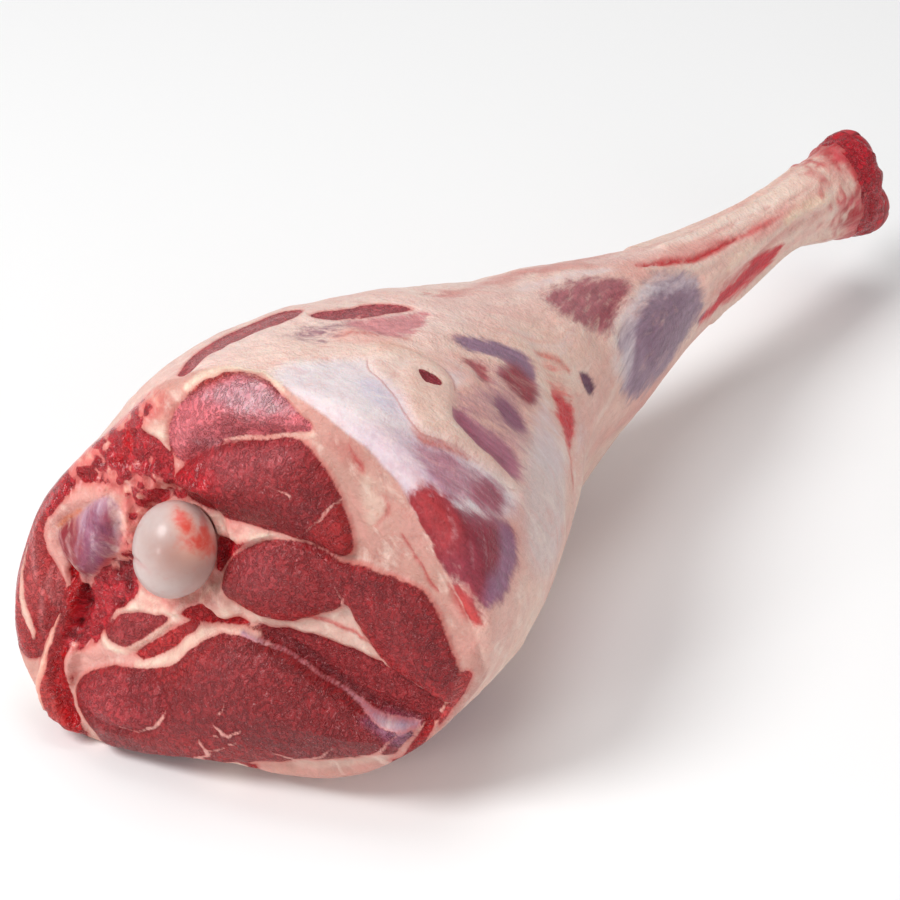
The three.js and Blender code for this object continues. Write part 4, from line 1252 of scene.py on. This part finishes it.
# %% Relief and painted layers on the skin
# The face map is read along the line of sight to its plane, so that what is painted on parts
# that lie deeper or higher stays over its outline.
face_u, face_v, face_out = face_place(base)
face_u = face_u - face_out * (FACE_RIGHT @ VIEW_BACK) / (FACE_NORMAL @ VIEW_BACK)
face_v = face_v - face_out * (FACE_UP @ VIEW_BACK) / (FACE_NORMAL @ VIEW_BACK)
from_rim = face_gap(base) - side_gap(base)
middle_y, middle_z, _ = section_at(base[:, 0])
turn = turn_of(base, middle_y, middle_z)
relief_share = smooth_step(0.5, 5.0, from_rim)
paint_share = smooth_step(-9, -7, from_rim)
paint_share = np.minimum(paint_share, face.read("cut", face_u, face_v))


def read_both(name):
    on_face_value = face.read(name, face_u, face_v)
    on_side_value = side.read(name, base[:, 0], turn)
    share = paint_share[:, None] if on_face_value.ndim == 2 else paint_share
    return mix(on_side_value, on_face_value, share)


face_height = face.read("height", face_u, face_v) - FAT_LEVEL
side_height = side.read("height", base[:, 0], turn)
skin = base + FACE_NORMAL * (face_height * relief_share)[:, None]
skin += base_normal * (side_height * (1 - relief_share))[:, None]
skin[:, 2] = np.maximum(skin[:, 2], TABLE_Z)
# Nothing comes closer to the ball than this.
BALL_CLEAR = 0.6
clear_round = np.array([1.0, BALL_STRETCH, 1.0]) * (BALL_RADIUS + BALL_CLEAR)
past_ball = np.stack(face_place(skin), 1) - np.array(BALL_AT, float)
closeness = np.linalg.norm(past_ball / clear_round, axis=1)
push = past_ball * np.maximum(1 / np.maximum(closeness, 0.3) - 1, 0)[:, None]
skin += push @ np.stack([FACE_RIGHT, FACE_UP, FACE_NORMAL])
print("skin moved by up to, mm:", np.abs(skin - base).max().round(1))

# %% The way the fibres run
# Places for streaky detail are pressed together along the fibres, which slant down towards
# the shank on the thigh and run straight along the shank.
SLANT = np.array([0.45, -0.45, -0.77])
SLANT_MIDDLE = np.array([-50.0, -30.0, 80.0])
STRETCH = 0.78
shank_share = smooth_step(-80, 40, base[:, 0])[:, None]
fibre = mix(SLANT[None], SHANKWARD[None], shank_share)
fibre /= np.linalg.norm(fibre, axis=1)[:, None]
from_slant = base - SLANT_MIDDLE
stretched = from_slant - fibre * ((fibre * from_slant).sum(1) * STRETCH)[:, None]
print("points with fibres:", len(stretched))

# %% Relief and layers written to the mesh
def write_points(mesh, points):
    mesh.vertices.foreach_set("co", points.astype(np.float32).ravel())
    mesh.update()


def write_layer(mesh, name, values):
    kind = "FLOAT"
    field = "value"
    if values.ndim == 2:
        kind = "FLOAT_VECTOR"
        field = "vector"
    layer = mesh.attributes.new(name, kind, "POINT")
    layer.data.foreach_set(field, values.astype(np.float32).ravel())


write_points(meat.data, to_frame(skin))
for name in ("lean", "lean_tint", "fat_tint", "haze", "wet", "bare", "bare_tint", "sheet"):
    write_layer(meat.data, name, read_both(name))
write_layer(meat.data, "fine", base)
write_layer(meat.data, "strand", stretched)
meat.data.shade_smooth()
triangles = sum(len(p.vertices) - 2 for p in meat.data.polygons)
print("meat:", len(meat.data.polygons), "faces,", triangles, "triangles")

# %% [markdown]
# ## Materials
# Raw meat is wet, slightly see-through and never one colour. A Principled shader gives the gloss
# and the light under the skin, and procedural noise gives what is finer than the maps. Small
# helpers wire the nodes. The node group holds the mottling that the meat and both bones share.

# %% Node helpers


class Nodes:
    def __init__(self, tree):
        self.tree = tree

    def add(self, kind, inputs=(), **settings):
        node = self.tree.nodes.new(kind)
        for key, value in settings.items():
            setattr(node, key, value)
        for key, value in dict(inputs).items():
            self.put(value, node.inputs[key])
        return node

    def put(self, value, socket):
        if isinstance(value, bpy.types.NodeSocket):
            self.tree.links.new(value, socket)
        elif hasattr(value, "__len__") and len(value) == 3 and socket.type == "RGBA":
            socket.default_value = (*value, 1)
        else:
            socket.default_value = value

    def math(self, operation, a, b=0.0):
        node = self.add("ShaderNodeMath", operation=operation)
        self.put(a, node.inputs[0])
        self.put(b, node.inputs[1])
        return node.outputs[0]

    def step(self, value, low, high, to_low=0.0, to_high=1.0, kind="SMOOTHSTEP"):
        node = self.add("ShaderNodeMapRange", interpolation_type=kind)
        for key, given in zip(range(5), (value, low, high, to_low, to_high)):
            self.put(given, node.inputs[key])
        return node.outputs[0]

    def ramp(self, value, low, high, to_low, to_high):
        return self.step(value, low, high, to_low, to_high, "LINEAR")

    def sum(self, *parts):
        """Values added up, each times its weight."""
        total = None
        for value, weight in parts:
            part = value if weight == 1 else self.math("MULTIPLY", value, weight)
            total = part if total is None else self.math("ADD", total, part)
        return total

    def noise(self, vector, scale, detail=2.0, rough=0.5, distortion=0.0):
        node = self.add(
            "ShaderNodeTexNoise",
            {"Vector": vector, "Scale": scale, "Detail": detail, "Roughness": rough,
             "Distortion": distortion},
        )
        return node.outputs["Fac"]

    def blend(self, share, a, b, kind="MIX"):
        node = self.add("ShaderNodeMix", data_type="RGBA", blend_type=kind)
        self.put(share, node.inputs["Factor"])
        self.put(a, node.inputs[6])
        self.put(b, node.inputs[7])
        return node.outputs[2]

    def stained(self, colour, mask, strength, stain):
        return self.blend(self.math("MULTIPLY", mask, strength), colour, stain)

    def ridge(self, value, sharp):
        """1 where the value is a half, falling off to both sides."""
        away = self.math("ABSOLUTE", self.math("SUBTRACT", value, 0.5))
        return self.step(away, 0.0, sharp, 1.0, 0.0)

    def layer(self, name, output="Fac"):
        return self.add("ShaderNodeAttribute", attribute_name=name).outputs[output]


def new_material(name):
    material = bpy.data.materials.new(name)
    material.use_nodes = True
    nodes = Nodes(material.node_tree)
    shader = material.node_tree.nodes["Principled BSDF"]
    return material, nodes, shader


def wire(nodes, shader, colour, rough, height, depth, constants):
    """Wires what varies over the surface, and sets on the shader what is the same all over."""
    nodes.put(colour, shader.inputs["Base Color"])
    nodes.put(rough, shader.inputs["Roughness"])
    strength, distance = depth
    bump = nodes.add("ShaderNodeBump", {"Strength": strength, "Distance": distance, "Height": height})
    nodes.put(bump.outputs["Normal"], shader.inputs["Normal"])
    for key, value in constants.items():
        shader.inputs[key].default_value = value


def mottling_group():
    """Value: soft blotches with fine specks in them. Height: the same for a bump."""
    group = bpy.data.node_groups.new("wet_mottling", "ShaderNodeTree")
    group.interface.new_socket("Vector", in_out="INPUT", socket_type="NodeSocketVector")
    group.interface.new_socket("Scale", in_out="INPUT", socket_type="NodeSocketFloat")
    group.interface.new_socket("Value", in_out="OUTPUT", socket_type="NodeSocketFloat")
    group.interface.new_socket("Height", in_out="OUTPUT", socket_type="NodeSocketFloat")
    nodes = Nodes(group)
    given = nodes.add("NodeGroupInput")
    wide = nodes.noise(given.outputs["Vector"], given.outputs["Scale"], 3, 0.6, 0.6)
    close = nodes.math("MULTIPLY", given.outputs["Scale"], 3.7)
    specks = nodes.noise(given.outputs["Vector"], close, 2, 0.5)
    both = nodes.sum((wide, 0.7), (specks, 0.3))
    result = nodes.add("NodeGroupOutput")
    nodes.put(nodes.step(both, 0.3, 0.7), result.inputs["Value"])
    nodes.put(both, result.inputs["Height"])
    return group


mottling = mottling_group()
print("mottling group:", len(mottling.nodes), "nodes")


def mottle_nodes(nodes, vector, scale):
    node = nodes.add("ShaderNodeGroup", node_tree=mottling)
    nodes.put(vector, node.inputs["Vector"])
    nodes.put(scale, node.inputs["Scale"])
    return node.outputs["Value"], node.outputs["Height"]

# %% [markdown]
# ## The meat's material
# One material covers the whole leg, because on the real one lean, fat and silver skin pass into
# each other without a seam. Each look is a function of its own, and the painted layers decide
# where each shows. A layer such as lean holds the distance to an edge, so a little noise added
# to it before the cut-off makes that edge crisp and ragged, as no soft mask would.

# %% Lean
def lean_look(nodes, fine):
    """The ends of the fibres, with pale streaks and flecks: colour and height. The flecks are painted
    glints, the streaks are partly pale fibres and partly painted highlights, and the colour darkens where
    the grain is low, partly as the fibres' own tone and partly as painted shade.
    """
    grain = nodes.noise(fine, 0.5, 2.5, 0.55, 1.1)
    broken = nodes.step(nodes.noise(fine, 0.4, 1, 0.5), 0.4, 0.58)
    worms = nodes.math("MULTIPLY", nodes.ridge(grain, 0.06), broken)
    # Painted glints: small pale flecks that stand in for highlights on the wet fibre ends.
    glint_flecks = nodes.step(nodes.noise(fine, 0.9, 2, 0.5, 1.4), 0.63, 0.7)
    # Darker where the grain is low: partly the fibres' tone, partly painted shade in the hollows of the
    # bump.
    shade = nodes.ramp(grain, 0.32, 0.68, 0.7, 1.14)
    colour = nodes.blend(1.0, nodes.layer("lean_tint", "Color"), shade, "MULTIPLY")
    # Pale streaks and flecks painted in, partly as highlights.
    colour = nodes.blend(nodes.sum((worms, 0.14), (glint_flecks, 0.42)), colour, tint(226, 138, 142))
    return colour, nodes.sum((grain, 1), (worms, 0.4), (glint_flecks, 0.25))

# %% Cover of fat
def fat_look(nodes, fine, strand):
    """Soft blotches, faint veins and streaks along the fibres: colour and height."""
    blotch, lumps = mottle_nodes(nodes, fine, 0.22)
    veins = nodes.ridge(nodes.noise(fine, 0.12, 3, 0.6, 0.8), 0.012)
    shade = nodes.ramp(blotch, 0, 1, 0.9, 1.05)
    colour = nodes.blend(1.0, nodes.layer("fat_tint", "Color"), shade, "MULTIPLY")
    colour = nodes.stained(colour, veins, 0.2, FAT_RED)
    streak = nodes.noise(strand, 0.16, 4, 0.6, 0.5)
    colour = nodes.blend(nodes.step(streak, 0.5, 0.75, 0.0, 0.5), colour, FAT_PINK)
    colour = nodes.blend(nodes.step(streak, 0.5, 0.25, 0.0, 0.5), colour, tint(244, 224, 210))
    return colour, lumps

# %% Bare patches
def bare_look(nodes, strand, fibres, cover):
    """The lean shows through the cover in streaks along the fibres."""
    streaks = nodes.ramp(nodes.noise(strand, 0.3, 5, 0.65, 0.4), 0.25, 0.75, -0.34, 0.34)
    share = nodes.step(nodes.math("ADD", nodes.layer("bare"), streaks), 0.08, 0.7)
    share = nodes.math("MULTIPLY", share, nodes.step(nodes.layer("bare"), 0.0, 0.15))
    shade = nodes.ramp(fibres, 0.3, 0.7, 0.8, 1.25)
    colour = nodes.blend(1.0, nodes.layer("bare_tint", "Color"), shade, "MULTIPLY")
    return nodes.blend(share, cover, colour)

# %% Silver skin
def silver_look(nodes, strand, fibres, colour):
    """A thin veil with pale and violet fibres."""
    drift = nodes.noise(strand, 0.09, 4, 0.6, 0.6)
    veil = nodes.math("ADD", nodes.layer("haze"), nodes.ramp(fibres, 0.2, 0.8, -0.22, 0.22))
    veil = nodes.step(veil, 0.1, 0.95, 0.0, 0.9)
    veil = nodes.math("MULTIPLY", veil, nodes.step(nodes.layer("haze"), 0.0, 0.2))
    tone = nodes.step(nodes.sum((fibres, 0.35), (drift, 0.65)), 0.34, 0.66)
    return nodes.blend(veil, colour, nodes.blend(tone, tint(206, 186, 194), tint(234, 220, 222)))

# %% Loose sheet
def sheet_look(nodes, wobble, cover, colour):
    """A sheet of fat with a crisp edge and a red line along it, which is partly red tissue and partly
    painted shadow under the edge.
    """
    sheet = nodes.math("ADD", nodes.layer("sheet"), wobble)
    # The red line just outside the edge: partly red tissue, partly painted shadow cast by the sheet.
    line = nodes.step(sheet, -1.3, -0.2, 0.0, 0.45)
    line = nodes.math("MULTIPLY", line, nodes.step(nodes.layer("haze"), 0.1, 0.35))
    colour = nodes.blend(line, colour, tint(176, 84, 70))
    return nodes.blend(nodes.step(sheet, -0.2, 0.2), colour, cover)

# %% The whole meat
def meat_material():
    material, nodes, shader = new_material("meat")
    fine = nodes.layer("fine", "Vector")
    strand = nodes.layer("strand", "Vector")
    wet = nodes.layer("wet")
    wobble = nodes.ramp(nodes.noise(fine, 0.8, 2), 0, 1, -0.32, 0.32)
    edge = nodes.math("ADD", nodes.layer("lean"), wobble)
    lean_share = nodes.step(edge, -0.3, 0.3)
    lean_colour, lean_height = lean_look(nodes, fine)
    cover, lumps = fat_look(nodes, fine, strand)
    fibres = nodes.noise(strand, 0.5, 4, 0.6, 0.3)
    fat_colour = bare_look(nodes, strand, fibres, cover)
    # Blood soaks into the fat beside the lean.
    soak = nodes.step(edge, -1.8, 0.2, 0.0, 0.55)
    fat_colour = nodes.blend(soak, fat_colour, FAT_RED)
    colour = nodes.blend(lean_share, fat_colour, lean_colour)
    colour = silver_look(nodes, strand, fibres, colour)
    colour = sheet_look(nodes, wobble, cover, colour)
    # Lean and wet places are glossier, and silver skin is smoother than fat.
    rough = nodes.ramp(lean_share, 0, 1, 0.42, 0.26)
    rough = nodes.math("SUBTRACT", rough, nodes.math("MULTIPLY", wet, 0.12))
    coat = nodes.math("ADD", nodes.math("MULTIPLY", wet, 0.35), 0.03)
    nodes.put(coat, shader.inputs["Coat Weight"])
    crumbs = nodes.noise(fine, 0.45, 3, 0.55, 0.3)
    smoothed = nodes.ramp(nodes.layer("haze"), 0.0, 0.5, 0.62, 0.3)
    fat_height = nodes.sum((lumps, 1), (crumbs, 0.35), (fibres, 0.3))
    fat_height = nodes.math("MULTIPLY", fat_height, smoothed)
    height = nodes.add("ShaderNodeMix", data_type="FLOAT")
    nodes.put(lean_share, height.inputs["Factor"])
    nodes.put(fat_height, height.inputs[2])
    nodes.put(lean_height, height.inputs[3])
    constants = {
        "IOR": 1.4,
        "Specular IOR Level": 0.42,
        "Subsurface Weight": 0.18,
        "Subsurface Radius": (1.0, 0.35, 0.22),
        "Subsurface Scale": 0.004,
        "Coat Roughness": 0.12,
        "Coat IOR": 1.38,
    }
    wire(nodes, shader, colour, rough, height.outputs[0], (1.0, 0.0016), constants)
    return material


meat.data.materials.append(meat_material())
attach(meat, "root")
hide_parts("meat")
print("meat material:", len(meat.data.materials[0].node_tree.nodes), "nodes")

# %% [markdown]
# ## The ball of the thigh bone
# The hip end of the thigh bone is a ball covered in smooth gristle: glossy ivory, a little longer
# up the face, with a second lobe low on its left and a blood stain high on its right. A plain
# sphere would do for its shape but not for its crease, so it is turned from rings, and then
# pushed in and out a little. Its stains, and the painted shade low on it and in its crease, are
# attributes, placed as the leg is mostly seen.

# %% Ball
NECK_RADIUS = 10
NECK_DEPTH = 38
NECK_RISE = 25
NECK_SHARE = 0.2  # of the rings
ball_centre = FACE_CENTRE + BALL_AT[0] * FACE_RIGHT + BALL_AT[1] * FACE_UP
ball_centre = ball_centre + BALL_AT[2] * FACE_NORMAL


def turned_skin(rings, around, radius_at):
    """A closed skin of rings from one pole to the other. radius_at gives each ring's radius
    and height."""
    points, faces = [], []
    for i in range(rings + 1):
        radius, height = radius_at(i / rings)
        for j in range(around):
            angle = 2 * math.pi * j / around
            points.append((radius * math.cos(angle), radius * math.sin(angle), height))
    for i in range(rings):
        for j in range(around):
            k = (j + 1) % around
            a, b = i * around, (i + 1) * around
            faces.append((a + j, a + k, b + k, b + j))
    count = len(points)
    points += [(0, 0, radius_at(0)[1]), (0, 0, radius_at(1)[1])]
    for j in range(around):
        k = (j + 1) % around
        faces.append((count, k, j))
        faces.append((count + 1, count - around + j, count - around + k))
    return np.array(points, float), faces


def ball_profile(share):
    """Radius and height of the ring at a share of the way from the neck's end to the top."""
    if share < NECK_SHARE:
        up = share / NECK_SHARE
        return NECK_RADIUS * (0.9 + 0.1 * up), -NECK_DEPTH + up * NECK_RISE
    lap = math.asin(NECK_RADIUS / BALL_RADIUS)
    angle = -math.pi / 2 + lap + (math.pi - lap) * (share - NECK_SHARE) / (1 - NECK_SHARE)
    return max(BALL_RADIUS * math.cos(angle), 0.02), BALL_RADIUS * math.sin(angle)


local, faces = turned_skin(110, 120, ball_profile)
points = local[:, :1] * FACE_RIGHT + local[:, 1:2] * FACE_UP * BALL_STRETCH
points = points + local[:, 2:] * FACE_NORMAL
way = points / BALL_RADIUS
across, above = way @ VIEW_RIGHT, way @ VIEW_UP
toward = way @ VIEW_BACK
ball_share = smooth_step(-0.9, -0.5, local[:, 2] / BALL_RADIUS)
# The crease between the ball and the lobe below it on the left.
crease_line = above - (-0.25 - 0.62 * (across + 0.9))
fading = smooth_step(-0.35, -0.9, across)
crease = np.exp(-((crease_line / 0.06) ** 2)) * fading
lobe = smooth_step(0.05, -0.35, crease_line) * smooth_step(0.5, -0.6, across)
bumpy = 0.12 * np.sin(3.1 * across + 1) * np.cos(2.7 * above)
lift = (-0.5 * crease + 0.55 * lobe + bumpy) * ball_share
points += way / np.linalg.norm(way, axis=1)[:, None] * lift[:, None]
ball = new_object("thigh_bone_ball", to_frame(points + ball_centre), faces)
print("ball:", len(ball.data.polygons), "faces")

# %% Stains and painted shade on the ball
def spot(place, radii, tilt):
    """1 in the middle of a tilted oval on the ball, falling softly to 0."""
    dx, dy = across - place[0], above - place[1]
    c, s = math.cos(math.radians(tilt)), math.sin(math.radians(tilt))
    long, short = (dx * c + dy * s) / radii[0], (-dx * s + dy * c) / radii[1]
    return np.exp(-((long**2 + short**2) ** 1.2)) * (toward > -0.2)


stain = np.maximum(spot((0.3, 0.64), (0.46, 0.2), -55), 0.9 * spot((0.66, 0.14), (0.42, 0.3), -30))
stain = np.maximum(stain, 0.8 * spot((0.78, 0.3), (0.5, 0.14), -75))
halo = np.maximum(spot((0.35, 0.55), (0.6, 0.3), -60), spot((0.6, 0.1), (0.45, 0.4), 0))
# Beige low on the ball as the leg is mostly seen: partly the gristle's tone, partly painted shade on its
# lower side.
beige_and_shade = spot((0.2, -0.25), (0.95, 0.6), -30)
for name, values in (("stain", stain), ("halo", halo), ("beige_and_shade", beige_and_shade), ("crease", crease)):
    write_layer(ball.data, name, values)
ball.data.shade_smooth()
print("share of the ball that is stained:", (stain > 0.5).mean().round(3))

# %% The ball's material
def ball_material():
    material, nodes, shader = new_material("ball")
    place = nodes.add("ShaderNodeTexCoord").outputs["Object"]
    blotch, height = mottle_nodes(nodes, place, 160.0)
    ragged = nodes.math("ADD", nodes.layer("stain"), nodes.ramp(blotch, 0, 1, -0.3, 0.3))
    worn = nodes.ramp(blotch, 0, 1, 0.0, 0.35)
    colour = nodes.blend(worn, tint(202, 185, 181), tint(186, 158, 152))
    # Darker beige low on the ball, partly painted shade.
    colour = nodes.stained(colour, nodes.layer("beige_and_shade"), 0.8, tint(166, 118, 106))
    colour = nodes.stained(colour, nodes.layer("halo"), 0.6, tint(230, 156, 130))
    colour = nodes.blend(nodes.step(ragged, 0.1, 1.15, 0.0, 0.9), colour, tint(216, 52, 36))
    # Darker pink along the crease: painted shade in the groove.
    colour = nodes.stained(colour, nodes.layer("crease"), 0.45, tint(196, 130, 130))
    constants = {
        "IOR": 1.42,
        "Subsurface Weight": 0.25,
        "Subsurface Radius": (1.0, 0.5, 0.4),
        "Subsurface Scale": 0.003,
        "Specular IOR Level": 0.4,
        "Coat Weight": 0.35,
        "Coat Roughness": 0.22,
    }
    rough = nodes.ramp(blotch, 0, 1, 0.34, 0.42)
    wire(nodes, shader, colour, rough, height, (0.25, 0.0003), constants)
    return material


ball.data.materials.append(ball_material())
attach(ball, "root")
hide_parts("thigh_bone")
print("ball material:", len(ball.data.materials[0].node_tree.nodes), "nodes")

# %% [markdown]
# ## The knuckle of the shank bone
# The shank ends in two knobs side by side, sawn and broken to raw red bone full of tiny cells. As
# with the leg, a function tells how far a point is outside it, and rays from its middle find the
# skin. Cells round random directions then roughen it, each with its own height and tone.

# %% Knuckle
SHAFT_RADIUS = 7
SHAFT_DEPTH = 42
KNOB_RADIUS = 11.5
KNOB_SPREAD = 10.5
KNOB_TILT = math.radians(-24)
KNOB_FLATNESS = 0.85
SEARCH_FROM = 48.0
knuckle_centre = np.array([SHEATH_END_X - 1.0, KNUCKLE_AXIS[0], KNUCKLE_AXIS[1]])
lobe_way = np.array([0.0, -math.sin(KNOB_TILT), math.cos(KNOB_TILT)])


def knuckle_gap(points):
    """How far points, seen from the knuckle's middle, are outside its knobs and shaft."""
    gap = None
    for sign in (1, -1):
        rel = points - lobe_way * KNOB_SPREAD * sign
        rel = rel / np.array([KNOB_FLATNESS, 1, 1])
        one = KNOB_RADIUS - np.linalg.norm(rel, axis=1)
        gap = one if gap is None else smooth_max(gap, one, 2.5)
    shaft = SHAFT_RADIUS - np.hypot(points[:, 1], points[:, 2])
    shaft = np.where(points[:, 0] > 0, -9.0, shaft)
    shaft = np.minimum(shaft, points[:, 0] + SHAFT_DEPTH)
    return -smooth_max(gap, shaft, 1.5)


def unit_ring(share):
    return max(math.sin(share * math.pi), 1e-3), -math.cos(share * math.pi)


def knuckle_skin():
    """Found from outside in, so that the dip between the knobs stays open."""
    local, faces = turned_skin(130, 120, unit_ring)
    side_way = np.cross(lobe_way, SHANKWARD)
    ways = local[:, :1] * SHANKWARD + local[:, 1:2] * side_way + local[:, 2:] * lobe_way
    ways /= np.linalg.norm(ways, axis=1)[:, None]
    distance = np.full(len(ways), SEARCH_FROM)
    for _ in range(400):
        gap = knuckle_gap(ways * distance[:, None])
        distance = np.where(gap > 0.01, distance - np.maximum(gap * 0.6, 0.01), distance)
    return ways * distance[:, None], ways, faces


points, ways, faces = knuckle_skin()
print("knuckle skin:", len(points), "points")

# %% Cells in the raw bone
random = np.random.default_rng(5)
grains = random.normal(size=(90, 3))
grains /= np.linalg.norm(grains, axis=1)[:, None]
grain_tone = random.uniform(-1, 1, len(grains))
likeness = ways @ grains.T
order = np.sort(likeness, axis=1)
cells = smooth_step(0.0, 0.02, order[:, -1] - order[:, -2])
cell_tone = grain_tone[likeness.argmax(1)]
bare_end = smooth_step(1, 5, points[:, 0])
points = points + ways * ((0.45 * cells + 0.35 * cell_tone - 0.3) * bare_end)[:, None]
knuckle = new_object("shank_bone_knuckle", to_frame(points + knuckle_centre), faces)
write_layer(knuckle.data, "cells", cells)
write_layer(knuckle.data, "cell_tone", cell_tone)
knuckle.data.shade_smooth()
print("knuckle:", len(knuckle.data.polygons), "faces,", len(grains), "cells")

# %% The knuckle's material
def knuckle_material():
    material, nodes, shader = new_material("raw_bone")
    place = nodes.add("ShaderNodeTexCoord").outputs["Object"]
    blotch, height = mottle_nodes(nodes, place, 260.0)
    colour = nodes.blend(blotch, tint(124, 6, 20), tint(206, 36, 50))
    tone = nodes.ramp(nodes.layer("cell_tone"), -1, 1, 0.0, 0.5)
    colour = nodes.blend(tone, colour, tint(206, 66, 74))
    gaps = nodes.ramp(nodes.layer("cells"), 0, 1, 0.7, 0.0)
    colour = nodes.blend(gaps, colour, tint(84, 12, 18))
    constants = {
        "IOR": 1.4,
        "Subsurface Weight": 0.1,
        "Subsurface Scale": 0.002,
        "Specular IOR Level": 0.35,
        "Coat Weight": 0.1,
        "Coat Roughness": 0.2,
    }
    rough = nodes.ramp(blotch, 0, 1, 0.3, 0.5)
    wire(nodes, shader, colour, rough, height, (0.8, 0.0006), constants)
    return material


knuckle.data.materials.append(knuckle_material())
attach(knuckle, "root")
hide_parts("shank_bone")
print("knuckle material:", len(knuckle.data.materials[0].node_tree.nodes), "nodes")

# %% [markdown]
# ## Floor, light and camera
# Wet meat is told by its glints, and a hard lamp would burn them out. So a broad soft light hangs
# above on the left, a small one gives the glints, weaker ones lift the right and the top, and
# the white world fills the rest. The floor is plain and pale, and the lens is long, so that the
# cut face isn't swollen by being near.

# %% Floor
bpy.ops.mesh.primitive_plane_add(size=30, location=(0, 0, 0))
floor = bpy.context.object
floor.name = "floor"
material, nodes, shader = new_material("floor")
shader.inputs["Base Color"].default_value = (0.93, 0.93, 0.93, 1)
shader.inputs["Roughness"].default_value = 0.9
floor.data.materials.append(material)
print("floor:", floor.dimensions[:2])

# %% Lights
TARGET = to_frame(np.array([-60.0, 0.0, 60.0]))


def area_light(name, place, size, power):
    light = bpy.data.lights.new(name, "AREA")
    light.shape = "DISK"
    light.size = size
    light.energy = power
    made = bpy.data.objects.new(name, light)
    bpy.context.scene.collection.objects.link(made)
    back = (Vector(place) - Vector(TARGET)).normalized()
    made.rotation_euler = back.to_track_quat("Z", "Y").to_euler()
    made.location = place


for lamp in (
    ("key", (-1.2, 0.5, 1.5), 0.8, 23),
    ("glint", (-1.5, 0.15, 0.42), 0.22, 2.5),
    ("fill", (-0.6, -1.6, 0.8), 1.2, 5),
    ("top", (0.3, 0.1, 1.8), 1.0, 7),
):
    area_light(*lamp)
world = bpy.data.worlds.new("studio")
world.use_nodes = True
background = world.node_tree.nodes["Background"]
background.inputs["Color"].default_value = (1, 1, 1, 1)
background.inputs["Strength"].default_value = 0.38
bpy.context.scene.world = world
bpy.context.scene.view_settings.view_transform = "Standard"
print("lights:", len(bpy.data.lights))

# %% Camera
CAMERA_PLACE = np.array([-845.5, -619.3, 762.3])
camera = bpy.data.objects.new("camera", bpy.data.cameras.new("camera"))
camera.data.lens = 140
camera.data.sensor_width = 36
turned = Matrix(np.stack([VIEW_RIGHT, VIEW_UP, VIEW_BACK], 1).tolist())
camera.matrix_world = Matrix.Translation(to_frame(CAMERA_PLACE).tolist()) @ turned.to_4x4()
bpy.context.scene.collection.objects.link(camera)
bpy.context.scene.camera = camera
print("camera at, m:", to_frame(CAMERA_PLACE).round(3))
